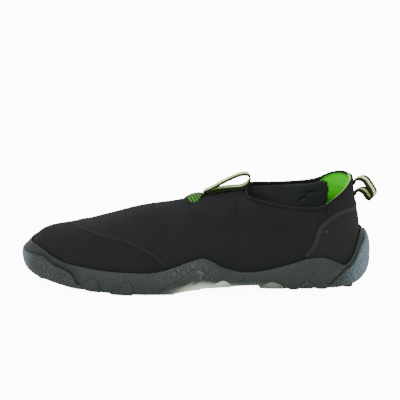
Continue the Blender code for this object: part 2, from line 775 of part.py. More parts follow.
def make_insole():
    """A thin footbed that fills the bottom of the upper, dished under the foot."""
    inner = SKIN_POINTS - SKIN_NORMALS * (WALL + 2 * GAP)
    keep = list(range(0, COUNT, 2))
    low, high = [], []
    for k in keep:
        turn = TURNS[k]
        foot = inner[SKIN_NUMBER[k, 0]]
        level = foot[:2]
        floor = float(floor_height(turn)) + GAP
        low.append([*level, floor])
        high.append([*level, floor + INSOLE_THICKNESS])
    rim = np.array(high)
    pulled = []
    for i, point in enumerate(rim):
        twin = rim[(len(rim) - i) % len(rim)]
        middle = (point + twin) / 2
        ends = np.array([np.clip(middle[0], x_of(0.10), x_of(0.90)), middle[1] * 0.5])
        away = ends - point[:2]
        away = away / max(np.linalg.norm(away), 1e-9) * INSOLE_RIM
        along = (point[0] + away[0]) / LENGTH + REST_ALONG
        height = float(floor_height(turn_of(along))) + GAP + INSOLE_THICKNESS - INSOLE_DISH
        pulled.append([*(point[:2] + away), height])
    n = len(keep)
    points = np.array(low + high + pulled)
    loops = np.arange(3 * n).reshape(3, n)
    faces = strip(loops[0], loops[1]) + strip(loops[1], loops[2])
    half = n // 2
    for k in range(half):
        a, b = loops[0][k], loops[0][k + 1]
        c, d = loops[0][(n - k - 1) % n], loops[0][(n - k) % n]
        faces += triangles((d, c, b, a))
        a, b = loops[2][k], loops[2][k + 1]
        c, d = loops[2][(n - k - 1) % n], loops[2][(n - k) % n]
        faces += triangles((a, b, c, d))
    return solid("insole", points, faces, FOAM)


def make_binding():
    """The folded edging that sits on the collar's rim."""
    loop = collar_loop()
    outer = SKIN_POINTS[loop]
    normal = SKIN_NORMALS[loop]
    middle = outer - normal * WALL / 2
    run = np.roll(middle, -1, axis=0) - np.roll(middle, 1, axis=0)
    run /= np.linalg.norm(run, axis=1, keepdims=True)
    edge = np.cross(normal, run)
    edge /= np.linalg.norm(edge, axis=1, keepdims=True)
    side = np.cross(run, edge)
    half = BINDING_WIDTH / 2
    low, waist, high = 1.4 * GAP, BINDING_HEIGHT * 0.5, BINDING_HEIGHT
    shape = ((-half * 0.7, low), (half * 0.7, low), (half, waist), (half * 0.5, high),
             (-half * 0.5, high), (-half, waist))
    rings = [middle + side * across + edge * up for across, up in shape]
    n = len(loop)
    points = np.concatenate(rings)
    faces = []
    for i in range(len(shape)):
        j = (i + 1) % len(shape)
        faces += strip([i * n + k for k in range(n)], [j * n + k for k in range(n)])
    return solid("collar_binding", points, facing_out(points, faces), BLACK_WEB)


def half_path(rows, steps, over_ridge):
    """Ribs and shares of a path's lateral half, drawn so that its mirrored half joins it smoothly."""
    turns = turn_of(np.array([row.along for row in rows]))
    shares = np.array([row.share for row in rows])
    after_turn = turns[-2] if over_ridge else 2 * np.pi - turns[-2]
    after_share = 2 - shares[-2] if over_ridge else shares[-2]
    turns = np.append(lengthened(turns)[:-1], after_turn)
    shares = np.append(lengthened(shares)[:-1], after_share)
    key = np.arange(-1.0, len(rows) + 1.0)
    at = np.linspace(0, len(rows) - 1, steps)
    return hermite(key, turns, False, at), np.clip(hermite(key, shares, False, at), 0, 1)


def path_on_skin(rows, steps, over_ridge):
    """Evenly spread points of a path from the lateral to the medial side, with their normals."""
    turns, shares = half_path(rows, 8 * steps, over_ridge)
    turns = np.concatenate([turns, 2 * np.pi - turns[-2::-1]])
    shares = np.concatenate([shares, shares[-2::-1]])
    points = np.array([skin(turn, share) for turn, share in zip(turns, shares)])
    run = np.concatenate([[0], np.cumsum(np.linalg.norm(np.diff(points, axis=0), axis=1))])
    picked = [int(np.argmin(np.abs(run - length))) for length in np.linspace(0, run[-1], steps)]
    normals = np.array([skin_normal(turns[i], shares[i]) for i in picked])
    return points[picked], normals


def make_tape(name, rows, width, steps, over_ridge):
    """A flat tape laid on the upper's outer face."""
    points, normals = path_on_skin(rows, steps, over_ridge)
    middle = steps // 2
    normals[middle] = normals[middle - 1] + normals[middle + 1]
    normals[middle] /= np.linalg.norm(normals[middle])
    run = np.gradient(points, axis=0)
    run /= np.linalg.norm(run, axis=1, keepdims=True)
    side = np.cross(normals, run)
    side /= np.linalg.norm(side, axis=1, keepdims=True)
    half = width / 2
    low, high = 1.4 * GAP, 1.4 * GAP + TAPE_THICKNESS
    shape = ((-half, low), (half, low), (half * 0.66, high), (-half * 0.66, high))
    grid = np.stack([points + side * across + normals * up for across, up in shape], 1)
    body_points, faces = swept(grid)
    return solid(name, body_points, faces, TAPE)


def lengthened(values):
    """The values with one more at each end, in line with the last two."""
    return np.concatenate([[2 * values[0] - values[1]], values, [2 * values[-1] - values[-2]]])


def bend_path(rows, steps):
    along = np.array([x_of(row.along) for row in rows])
    height = np.array([row.height for row in rows]) * HEEL_HEIGHT
    run = np.concatenate([[0], np.cumsum(np.hypot(np.diff(along), np.diff(height)))])
    at = np.linspace(0, run[-1], steps)
    found = [hermite(lengthened(run), lengthened(values), False, at) for values in (along, height)]
    return np.stack(found, 1)


def make_loop(name, rows, centre_across, turn):
    """A pull loop of flat ribbon, twisted away from its sewn ends by the turn."""
    path = bend_path(rows, LOOP_STEPS)
    run = np.gradient(path, axis=0)
    run /= np.linalg.norm(run, axis=1, keepdims=True)
    across = np.stack([-run[:, 1], run[:, 0]], 1)
    half = RIBBON_WIDTH / 2
    thick = RIBBON_THICKNESS / 2
    shape = ((-half, -thick), (half, -thick), (half, thick), (-half, thick))
    twist = turn * np.minimum(1.0, 2.2 * np.sin(np.pi * np.linspace(0, 1, len(path))))
    grid = []
    for wide, deep in shape:
        level = path + across * deep
        x = level[:, 0] + np.sin(twist) * wide
        z = level[:, 1] + np.sin(twist) * wide * HEEL_LOOP_TILT
        grid.append(np.stack([x, centre_across + np.cos(twist) * wide, z], 1))
    points, faces = swept(np.stack(grid, 1))
    return solid(name, points, faces, RIBBON, sharp=50)


def make_anchor():
    """The low padded patch in front of the instep loop."""
    centre_x = x_of(ANCHOR_REAR) - ANCHOR_LENGTH / 2
    turn = turn_of(centre_x / LENGTH + REST_ALONG)
    rings, around = 4, 16
    points, top_points = [], []
    centre_y = float(top_across(turn)) - ANCHOR_OFFSET
    for i in range(rings + 1):
        share = 1 - i / rings
        for j in range(around if i < rings else 1):
            angle = 2 * np.pi * j / around
            x = centre_x + share * ANCHOR_LENGTH / 2 * math.cos(angle)
            y = centre_y + share * ANCHOR_WIDTH / 2 * math.sin(angle)
            base = surface_height(x, y)
            dome = (ANCHOR_RISE - ANCHOR_EDGE) * math.sqrt(1 - share * share)
            points.append([x, y, base + 2 * GAP])
            top_points.append([x, y, base + 2 * GAP + ANCHOR_EDGE + dome])
    shift = len(points)
    faces = []
    for i in range(rings - 1):
        low = [i * around + j for j in range(around)]
        high = [(i + 1) * around + j for j in range(around)]
        faces += strip([shift + v for v in low], [shift + v for v in high])
        faces += strip(high, low)
    tip = rings * around
    for j in range(around):
        a, b = (rings - 1) * around + j, (rings - 1) * around + (j + 1) % around
        faces += [(shift + a, shift + b, shift + tip), (b, a, tip)]
    faces += strip(list(range(around)), [shift + j for j in range(around)])
    all_points = np.array(points + top_points)
    return solid("instep_anchor", all_points, facing_out(all_points, faces), BLACK_WEB)


def surface_height(x, y):
    """Height of the upper's outer face above a level point, read from its facets."""
    corners = np.array(SKIN_FACES)
    a, b, c = (SKIN_POINTS[corners[:, i]] for i in range(3))
    det = (b[:, 1] - c[:, 1]) * (a[:, 0] - c[:, 0]) + (c[:, 0] - b[:, 0]) * (a[:, 1] - c[:, 1])
    det = np.where(np.abs(det) < 1e-14, np.nan, det)
    u = ((b[:, 1] - c[:, 1]) * (x - c[:, 0]) + (c[:, 0] - b[:, 0]) * (y - c[:, 1])) / det
    v = ((c[:, 1] - a[:, 1]) * (x - c[:, 0]) + (a[:, 0] - c[:, 0]) * (y - c[:, 1])) / det
    w = 1 - u - v
    inside = (u >= -1e-6) & (v >= -1e-6) & (w >= -1e-6)
    return float((u * a[:, 2] + v * b[:, 2] + w * c[:, 2])[inside].max())


def clear_scene():
    for old in list(bpy.data.objects):
        bpy.data.objects.remove(old)


def main():
    clear_scene()
    make_outsole()
    make_insole()
    make_upper()
    make_binding()
    make_tape("toe_seam_tape", TOE_SEAM, TOE_TAPE_WIDTH, 33, over_ridge=True)
    make_tape("counter_seam_tape", COUNTER_SEAM, COUNTER_TAPE_WIDTH, 29, over_ridge=False)
    make_anchor()
    make_loop("instep_pull_loop", INSTEP_LOOP, INSTEP_LOOP_ACROSS, 0.0)
    make_loop("heel_pull_loop", HEEL_LOOP, 0.0, HEEL_LOOP_TURN)


main()
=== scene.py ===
"""Looks of a pull-on water shoe for the left foot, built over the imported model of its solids.

The toe points to -X, the heel to +X and the outer side of the foot to -Y. The sole rests on z = 0.
In the tables, positions along the shoe are shares of LENGTH from the toe, positions across it are
shares of BALL_WIDTH, and heights are shares of HEEL_HEIGHT. All else is in metres.
"""

import math
from collections import namedtuple

import bpy
import numpy as np
from bpy.props import FloatProperty, FloatVectorProperty, IntProperty, PointerProperty
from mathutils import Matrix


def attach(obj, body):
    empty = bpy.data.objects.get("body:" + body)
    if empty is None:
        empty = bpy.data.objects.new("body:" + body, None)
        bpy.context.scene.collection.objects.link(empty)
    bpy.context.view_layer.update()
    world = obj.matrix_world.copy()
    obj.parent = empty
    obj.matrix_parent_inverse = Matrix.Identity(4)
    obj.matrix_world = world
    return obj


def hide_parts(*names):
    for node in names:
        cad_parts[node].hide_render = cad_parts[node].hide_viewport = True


bl_info = {
    "name": "Water shoe looks",
    "version": (1, 0, 0),
    "blender": (4, 5, 0),
    "location": "View3D > Sidebar > Water shoe",
    "description": "Builds the visible pieces and finishes of a pull-on water shoe",
    "category": "Object",
}

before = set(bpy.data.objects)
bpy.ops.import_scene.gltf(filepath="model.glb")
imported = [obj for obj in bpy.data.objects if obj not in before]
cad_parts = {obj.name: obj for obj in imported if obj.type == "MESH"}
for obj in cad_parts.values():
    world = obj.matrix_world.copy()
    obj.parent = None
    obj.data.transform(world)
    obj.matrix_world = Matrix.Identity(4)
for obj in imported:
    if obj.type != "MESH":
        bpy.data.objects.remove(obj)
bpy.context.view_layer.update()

# Driving sizes
LENGTH = 0.285
BALL_WIDTH = 0.104
HEEL_HEIGHT = 0.0852
REST_ALONG = 0.86
GAP = 0.0005

# Sole
LUG_HEIGHT = 0.0025
LUG_SINK = 0.0012
RAND_LIP = 0.0018
STEP_RISE = 0.0005
BUMPER_PROUD = 0.0016
PAD_PROUD = 0.0010
PAD_SINK = 0.0012
PAD_FOOT = 0.0050

# Insole
INSOLE_THICKNESS = 0.0035
INSOLE_DISH = 0.0012

# Upper. RIDGE_SLOPE is its climb over the toes, FLARE how far the collar's ribs lean out at the top
WALL = 0.0026
RIDGE_SLOPE = 0.16
FLARE = 0.0022
RIB_BELLY = 0.0012
FRONT_ALONG = 0.60
STATION_SPREAD = 0.15

# Trim
BINDING_WIDTH = 0.0036
BINDING_HEIGHT = 0.0020
TOE_TAPE_WIDTH = 0.0024
COUNTER_TAPE_WIDTH = 0.0036
TAPE_THICKNESS = 0.0009
RIBBON_WIDTH = 0.011
RIBBON_THICKNESS = 0.0013
HEEL_LOOP_TURN = math.radians(30)
HEEL_LOOP_TILT = 0.27
INSTEP_LOOP_ACROSS = 0.0035
ANCHOR_REAR = 0.5245
ANCHOR_LENGTH = 0.0172
ANCHOR_WIDTH = 0.020
ANCHOR_OFFSET = 0.003
ANCHOR_RISE = 0.0025
ANCHOR_EDGE = 0.0010

# Outline of the sole at its widest: how far it reaches to the outer and the inner side
Plan = namedtuple("Plan", "along lateral medial")
PLAN = (
    Plan(0.00, 0.080, 0.080),
    Plan(0.01, -0.080, 0.232),
    Plan(0.04, -0.215, 0.345),
    Plan(0.09, -0.325, 0.418),
    Plan(0.16, -0.412, 0.457),
    Plan(0.25, -0.480, 0.476),
    Plan(0.35, -0.520, 0.458),
    Plan(0.45, -0.508, 0.400),
    Plan(0.55, -0.455, 0.332),
    Plan(0.65, -0.405, 0.303),
    Plan(0.75, -0.370, 0.318),
    Plan(0.84, -0.360, 0.341),
    Plan(0.91, -0.332, 0.327),
    Plan(0.96, -0.260, 0.268),
    Plan(0.99, -0.140, 0.146),
    Plan(1.00, 0.000, 0.000),
)

# Lengthwise profile of the sole: ground side of the lugs, floor of the cup, widest height of the
# wall, how far its lower edge rounds in and how far the upper's feather edge lies inside it
Profile = namedtuple("Profile", "along tread floor bulge edge feather")
PROFILE = (
    Profile(0.00, 0.0775, 0.2113, 0.2523, 0.0869, 0.0610),
    Profile(0.04, 0.0657, 0.1901, 0.2054, 0.0704, 0.0610),
    Profile(0.09, 0.0505, 0.1667, 0.1526, 0.0528, 0.0610),
    Profile(0.16, 0.0223, 0.1385, 0.1174, 0.0352, 0.0587),
    Profile(0.22, 0.0094, 0.1232, 0.0998, 0.0305, 0.0587),
    Profile(0.28, 0.0000, 0.1174, 0.0939, 0.0305, 0.0587),
    Profile(0.42, 0.0000, 0.1174, 0.0939, 0.0305, 0.0587),
    Profile(0.48, 0.0258, 0.1232, 0.1115, 0.0305, 0.0587),
    Profile(0.56, 0.0493, 0.1338, 0.1232, 0.0305, 0.0587),
    Profile(0.66, 0.0469, 0.1432, 0.1232, 0.0305, 0.0563),
    Profile(0.75, 0.0000, 0.1502, 0.1056, 0.0352, 0.0563),
    Profile(0.88, 0.0000, 0.1585, 0.1174, 0.0469, 0.0587),
    Profile(0.95, 0.0000, 0.1620, 0.1585, 0.0880, 0.0657),
    Profile(1.00, 0.0117, 0.1643, 0.2171, 0.1350, 0.0728),
)

# Top edge of the rubber: a wave along both sides, high at the toe and higher behind the heel.
# body tells how long the wall stays full before it leans in to that edge
Rand = namedtuple("Rand", "along height body")
RAND = (
    Rand(0.000, 0.3660, 2.2),
    Rand(0.050, 0.3560, 2.2),
    Rand(0.090, 0.3080, 2.2),
    Rand(0.125, 0.2775, 2.0),
    Rand(0.160, 0.2640, 2.0),
    Rand(0.240, 0.2400, 2.0),
    Rand(0.304, 0.2370, 2.0),
    Rand(0.390, 0.2463, 2.0),
    Rand(0.436, 0.2802, 2.0),
    Rand(0.485, 0.3337, 2.0),
    Rand(0.528, 0.3560, 2.0),
    Rand(0.577, 0.2722, 2.0),
    Rand(0.640, 0.2106, 2.0),
    Rand(0.684, 0.2127, 2.0),
    Rand(0.752, 0.2559, 2.0),
    Rand(0.820, 0.3232, 2.0),
    Rand(0.860, 0.3326, 2.0),
    Rand(0.903, 0.2840, 2.0),
    Rand(0.930, 0.2420, 2.2),
    Rand(0.955, 0.2900, 3.0),
    Rand(0.975, 0.3900, 4.0),
    Rand(0.990, 0.4950, 4.5),
    Rand(1.000, 0.5150, 4.5),
)

# Upper edge of the raised toe and heel bumpers, and how much of BUMPER_PROUD each place has
Step = namedtuple("Step", "along height proud")
STEP = (
    Step(0.000, 0.2950, 1.0),
    Step(0.056, 0.3130, 1.0),
    Step(0.090, 0.2600, 1.0),
    Step(0.130, 0.2212, 1.0),
    Step(0.153, 0.1750, 1.0),
    Step(0.168, 0.0980, 0.7),
    Step(0.185, 0.0939, 0.0),
    Step(0.400, 0.1174, 0.0),
    Step(0.600, 0.1350, 0.0),
    Step(0.860, 0.1291, 0.0),
    Step(0.882, 0.0700, 0.5),
    Step(0.900, 0.1230, 1.0),
    Step(0.920, 0.1780, 1.0),
    Step(0.942, 0.2360, 1.0),
    Step(0.960, 0.3100, 1.0),
    Step(1.000, 0.5100, 1.0),
)

# Where each rib of the upper ends: on the ridge over the toes, then on the collar's edge.
# reach is its share along, lay turns the rib's end from level (0) to upright (1) and ahead turns
# it from across the shoe (0) to along it (1), as at the front of the collar
Top = namedtuple("Top", "along reach lateral medial low high lay ahead")
TOP = (
    Top(0.000, 0.125, 0.085, 0.085, 0.5235, 0.5235, 0.00, 0.00),
    Top(0.040, 0.133, 0.085, 0.085, 0.5270, 0.5270, 0.00, 0.00),
    Top(0.090, 0.155, 0.085, 0.085, 0.5352, 0.5352, 0.00, 0.00),
    Top(0.160, 0.198, 0.085, 0.085, 0.5657, 0.5657, 0.00, 0.00),
    Top(0.250, 0.262, 0.080, 0.080, 0.6291, 0.6291, 0.00, 0.00),
    Top(0.350, 0.350, 0.070, 0.070, 0.7113, 0.7113, 0.00, 0.00),
    Top(0.450, 0.450, 0.055, 0.055, 0.7700, 0.7700, 0.00, 0.00),
    Top(0.550, 0.570, 0.035, 0.035, 0.8650, 0.8650, 0.00, 0.06),
    Top(0.600, 0.636, 0.020, 0.020, 0.8920, 0.8920, 0.00, 0.22),
    Top(0.625, 0.639, -0.082, 0.115, 0.8700, 0.8830, 0.16, 0.38),
    Top(0.650, 0.648, -0.165, 0.200, 0.8640, 0.8750, 0.34, 0.36),
    Top(0.678, 0.667, -0.222, 0.248, 0.8521, 0.8650, 0.54, 0.26),
    Top(0.710, 0.700, -0.260, 0.278, 0.8290, 0.8540, 0.74, 0.14),
    Top(0.750, 0.747, -0.280, 0.294, 0.7980, 0.8510, 0.88, 0.06),
    Top(0.800, 0.800, -0.284, 0.292, 0.7820, 0.8627, 0.95, 0.00),
    Top(0.860, 0.856, -0.270, 0.274, 0.7850, 0.8980, 1.00, 0.00),
    Top(0.910, 0.898, -0.230, 0.232, 0.8560, 0.9710, 1.00, 0.00),
    Top(0.950, 0.928, -0.165, 0.168, 0.9210, 1.0030, 1.00, 0.00),
    Top(0.980, 0.945, -0.088, 0.090, 0.9700, 1.0040, 1.00, 0.00),
    Top(1.000, 0.951, 0.000, 0.000, 1.0000, 1.0000, 1.00, 0.00),
)

# Raised rubber pads on the side of the sole, each from its front end to its rear end
Pad = namedtuple("Pad", "along low high")
PADS = (
    (Pad(0.184, 0.0400, 0.0840), Pad(0.189, 0.0380, 0.1290), Pad(0.198, 0.0360, 0.1580),
     Pad(0.208, 0.0350, 0.1690), Pad(0.218, 0.0340, 0.1620), Pad(0.226, 0.0330, 0.1330),
     Pad(0.230, 0.0340, 0.0850)),
    (Pad(0.258, 0.0200, 0.0420), Pad(0.270, 0.0200, 0.0840), Pad(0.286, 0.0200, 0.1180),
     Pad(0.302, 0.0200, 0.1480), Pad(0.315, 0.0200, 0.1560), Pad(0.325, 0.0200, 0.1080)),
    (Pad(0.394, 0.0399, 0.0560), Pad(0.412, 0.0446, 0.0960), Pad(0.436, 0.0560, 0.1450),
     Pad(0.459, 0.0740, 0.1920), Pad(0.480, 0.1030, 0.2450), Pad(0.498, 0.1330, 0.2690),
     Pad(0.512, 0.1600, 0.2660), Pad(0.522, 0.1930, 0.2410)),
    (Pad(0.533, 0.0728, 0.0900), Pad(0.552, 0.0728, 0.1200), Pad(0.576, 0.0728, 0.1500),
     Pad(0.592, 0.0728, 0.1320), Pad(0.606, 0.0728, 0.0900)),
    (Pad(0.683, 0.0440, 0.0640), Pad(0.696, 0.0400, 0.0940), Pad(0.717, 0.0340, 0.1140),
     Pad(0.738, 0.0300, 0.0900), Pad(0.752, 0.0280, 0.0560)),
    (Pad(0.798, 0.0260, 0.0480), Pad(0.806, 0.0260, 0.0900), Pad(0.817, 0.0260, 0.1120),
     Pad(0.828, 0.0260, 0.0880), Pad(0.835, 0.0260, 0.0500)),
)

# Tread: rows of three lugs. length and width, as shares of LENGTH and BALL_WIDTH, are of the middle
# lug, and spread places the outer two
Row = namedtuple("Row", "along length width spread")
TREAD = (
    Row(0.060, 0.0386, 0.1731, 0.54),
    Row(0.130, 0.0456, 0.2115, 0.60),
    Row(0.205, 0.0491, 0.2308, 0.62),
    Row(0.275, 0.0491, 0.2404, 0.63),
    Row(0.350, 0.0561, 0.2500, 0.64),
    Row(0.425, 0.0491, 0.2404, 0.64),
    Row(0.500, 0.0456, 0.2115, 0.62),
    Row(0.700, 0.0456, 0.1731, 0.62),
    Row(0.780, 0.0491, 0.1827, 0.62),
    Row(0.860, 0.0561, 0.1923, 0.62),
    Row(0.935, 0.0386, 0.1731, 0.56),
)
SIDE_LUG_SIZE = 0.86
SIDE_LUG_TURN = 0.35

# Paths on the upper: rib, and share of the way from the rubber's edge to the rib's end
Spot = namedtuple("Spot", "along share")
TOE_SEAM = (
    Spot(0.418, 0.03),
    Spot(0.389, 0.16),
    Spot(0.350, 0.26),
    Spot(0.300, 0.36),
    Spot(0.240, 0.45),
    Spot(0.180, 0.58),
    Spot(0.120, 0.78),
    Spot(0.078, 1.00),
)
COUNTER_SEAM = (
    Spot(0.815, 0.05),
    Spot(0.838, 0.24),
    Spot(0.848, 0.44),
    Spot(0.859, 0.62),
    Spot(0.877, 0.715),
    Spot(0.900, 0.760),
    Spot(0.930, 0.770),
    Spot(0.957, 0.710),
    Spot(0.980, 0.600),
    Spot(1.000, 0.500),
)

# Side views of the two ribbon loops, as shares along and heights
Bend = namedtuple("Bend", "along height")
INSTEP_LOOP = (
    Bend(0.5282, 0.8498),
    Bend(0.5388, 0.8592),
    Bend(0.5531, 0.8815),
    Bend(0.5761, 0.8979),
    Bend(0.5990, 0.9085),
    Bend(0.6191, 0.9120),
    Bend(0.6363, 0.9225),
    Bend(0.6491, 0.9472),
    Bend(0.6562, 0.9847),
    Bend(0.6561, 1.0176),
    Bend(0.6492, 1.0387),
    Bend(0.6374, 1.0411),
    Bend(0.6189, 1.0246),
    Bend(0.5989, 0.9941),
    Bend(0.5760, 0.9554),
    Bend(0.5531, 0.9096),
    Bend(0.5359, 0.8826),
    Bend(0.5273, 0.8709),
)
HEEL_LOOP = (
    Bend(0.9590, 0.8640),
    Bend(0.9676, 0.8920),
    Bend(0.9796, 0.8953),
    Bend(0.9900, 0.8704),
    Bend(0.9983, 0.8305),
    Bend(1.0066, 0.8100),
    Bend(1.0131, 0.8480),
    Bend(1.0078, 0.8983),
    Bend(0.9985, 0.9451),
    Bend(0.9889, 0.9907),
    Bend(0.9763, 1.0115),
    Bend(0.9640, 1.0011),
    Bend(0.9556, 0.9710),
)

# Soft troughs and ridges of the stretched cloth: two ends on the upper as (along, share), on the outer
# (-1), the inner (1) or both sides (0), how wide and how deep. A negative depth is a ridge
Crease = namedtuple("Crease", "side start end width depth")
CREASES = (
    Crease(0, (0.335, 0.30), (0.405, 0.78), 0.0052, 0.00045),
    Crease(-1, (0.395, 0.20), (0.450, 0.60), 0.0046, 0.00050),
    Crease(1, (0.385, 0.26), (0.455, 0.72), 0.0050, 0.00055),
    Crease(-1, (0.455, 0.34), (0.520, 0.66), 0.0050, -0.00040),
    Crease(0, (0.520, 0.50), (0.600, 0.90), 0.0054, 0.00050),
    Crease(-1, (0.560, 0.30), (0.640, 0.44), 0.0060, 0.00045),
    Crease(1, (0.580, 0.34), (0.680, 0.46), 0.0056, -0.00045),
    Crease(0, (0.655, 0.93), (0.745, 0.72), 0.0046, 0.00055),
    Crease(-1, (0.700, 0.52), (0.820, 0.66), 0.0058, 0.00045),
    Crease(1, (0.720, 0.60), (0.830, 0.70), 0.0056, 0.00050),
    Crease(0, (0.770, 0.90), (0.860, 0.86), 0.0042, 0.00040),
    Crease(0, (0.905, 0.86), (0.960, 0.78), 0.0040, 0.00045),
    Crease(0, (0.120, 0.30), (0.150, 0.64), 0.0060, 0.00025),
)
# Small puckers of the lining inside the far side of the collar
PUCKERS = (
    Crease(1, (0.792, 0.66), (0.806, 0.74), 0.0012, 0.0009),
    Crease(1, (0.800, 0.72), (0.814, 0.68), 0.0012, 0.0008),
    Crease(1, (0.818, 0.78), (0.836, 0.80), 0.0013, 0.0008),
    Crease(1, (0.846, 0.80), (0.862, 0.78), 0.0013, 0.0007),
    Crease(-1, (0.800, 0.72), (0.820, 0.76), 0.0013, 0.0008),
    Crease(-1, (0.840, 0.80), (0.858, 0.77), 0.0013, 0.0007),
)
# Pressed lines of the upper: the short seam under the collar, and the edge of the vamp's mesh panel
SIDE_SEAM = (Spot(0.8750, 0.72), Spot(0.8753, 0.80), Spot(0.8756, 0.90), Spot(0.8770, 1.00))
VAMP_EDGE = (
    Spot(0.200, 0.540),
    Spot(0.253, 0.639),
    Spot(0.304, 0.697),
    Spot(0.368, 0.714),
    Spot(0.414, 0.690),
    Spot(0.458, 0.650),
    Spot(0.500, 0.655),
)
# Areas of the outer face: a seam or an edge, closed by corners outside the upper
PANELS = {
    "toe_panel": TOE_SEAM + (Spot(0.0, 1.3), Spot(0.0, -1.0), Spot(0.418, -1.0)),
    "counter_panel": COUNTER_SEAM + (Spot(1.01, 0.50), Spot(1.01, -1.0), Spot(0.815, -1.0)),
    "mesh_panel": VAMP_EDGE + (Spot(0.53, 1.2), Spot(0.222, 1.2)),
}
# Front edge of the bright heel lining, where the padded cloth in front of it ends
LINING_EDGE = (
    Spot(0.862, 0.00),
    Spot(0.876, 0.40),
    Spot(0.892, 0.62),
    Spot(0.899, 0.76),
    Spot(0.900, 0.84),
    Spot(0.897, 0.92),
    Spot(0.874, 1.00),
)
# Unevenness of that edge: how far, how often and from where. Then the padded cloth's rounded edge
# and its length ahead of the edge
LINING_WAVES = ((0.0016, 41.0, 0.0), (0.0010, 97.0, 1.0))
PADDING_EDGE = 0.0016
PADDING_LENGTH = 0.055
LINT_SPOT = Spot(0.8735, 0.529)
LINT_SIZE = 0.0003

# Widths over which a pressed line, the lining's front edge and the bumper's groove fade
PRESSED_WIDTH = 0.0007
LINING_FADE = 0.0008
GROOVE_WIDTH = 0.00055

# Tones along the rubber, as shares of the length: painted sheen at the heel and the toe, end of the dark band
# over the toe bumper, specks at the wave, and the painted glow of the arch, which is dimmer behind ARCH_DIM
HEEL_SHEEN = 0.905
TOE_SHEEN = 0.040
TOE_BAND_END = 0.22
WAVE_CREST = 0.475
ARCH_START = 0.36
ARCH_END = 0.80
ARCH_DIM = 0.66
ARCH_BRIGHTEST = 0.495
# How far the arch's painted glow reaches up the wall, and how much farther at its brightest place
ARCH_HEIGHT = 0.0045
ARCH_SWELL = 0.0055
# Pads: sections along each, least height, where the painted highlights on their rear ends begin, and the pad
# whose lower edge has a painted glow
PAD_STATIONS = 44
PAD_LEAST = 0.0012
PAD_HIGHLIGHT_START = 0.45
PAD_GLOW = 0.50
PAD_GLOW_TOP = 0.0075
# Other pads that the light shines through: place, how far it reaches and how strong
Glow = namedtuple("Glow", "along reach strength")
PAD_GLOWS = (Glow(0.574, 0.035, 0.48), Glow(0.717, 0.04, 0.16))

# Where the painted highlight, a pale line inside the binding, starts on the outer and the inner side of the
# shoe, and between which places the inner side shows the bright lining below that line
INNER_HIGHLIGHT_START = (0.868, 0.940)
LINED_START = 0.868
LINED_END = 0.975
# How far the stitches narrow the binding, and how far out they lie on it
STITCH_PULL = 0.035
STITCH_REACH = 0.955

# Pale stripe of each loop: its middle and half width, as shares of the ribbon's half width
Stripe = namedtuple("Stripe", "middle half")
INSTEP_STRIPE = Stripe(0.08, 0.38)
HEEL_STRIPE = Stripe(0.03, 0.28)
# Share of a loop that is its lower strand. How far the instep loop's lower strand cups, and the
# fold at its sewn end: ahead and down
LOWER_STRAND = 0.46
INSTEP_CUP = 0.0015
FOLD_AHEAD = 0.0009
FOLD_DOWN = 0.0018
# The padded patch: its rings and their corners, where its rolled edge starts, and the depth and
# place of the line inside that edge
ANCHOR_RINGS = 22
ANCHOR_CORNERS = 72
EDGE_START = 0.93
WELT_DEPTH = 0.0006
WELT_PLACE = 0.80
# Middle of the patch's bright part, seen from the patch's own middle
PATCH_SHIFT = (0.0006, -0.0034)

SOLE_STATIONS = 900
SKIN_STATIONS = 560
WALL_SHARES = np.linspace(0, 1, 50)
SKIN_SHARES = np.linspace(0, 1, 66)


def size_field(name, description, default, least=0.0):
    return FloatProperty(name=name, description=description, default=default, min=least, unit="LENGTH")


def colour_field(name, description, default):
    return FloatVectorProperty(name=name, description=description, default=default, subtype="COLOR")


class ShoeSizes(bpy.types.PropertyGroup):
    """Fine sizes of the visible pieces"""

    lip_round: size_field("Rand rounding", "How far the rubber's top edge is rounded down", 0.0009)
    groove_depth: size_field("Bumper groove", "Depth of the line above the toe and heel bumpers", 0.0007)
    seam_depth: size_field("Pressed seam", "Depth of the lines pressed into the cloth", 0.00045)
    crease_strength: FloatProperty(
        name="Creases", description="Strength of the cloth's soft creases",
        default=1.0, min=0.0, max=2.0, subtype="FACTOR")
    pad_fade: size_field("Lining pad", "How far the padded cloth stands over the heel lining", 0.0013)
    stitch_length: size_field("Stitch length", "Length of one visible stitch", 0.0019, 0.0005)
    stitch_gap: size_field("Stitch gap", "Space between two stitches", 0.0011, 0.0002)
    thread: size_field("Thread", "Thickness of the sewing thread", 0.00042, 0.0001)
    binding_wrap: size_field("Binding wrap", "How far the binding reaches down over the cloth's edge", 0.0013)
    ribbon_root: size_field("Ribbon root", "How far each end of a loop is sewn into the cloth", 0.0022)
    ribbon_steps: IntProperty(
        name="Ribbon steps", description="Number of sections along each pull loop", default=150, min=20)


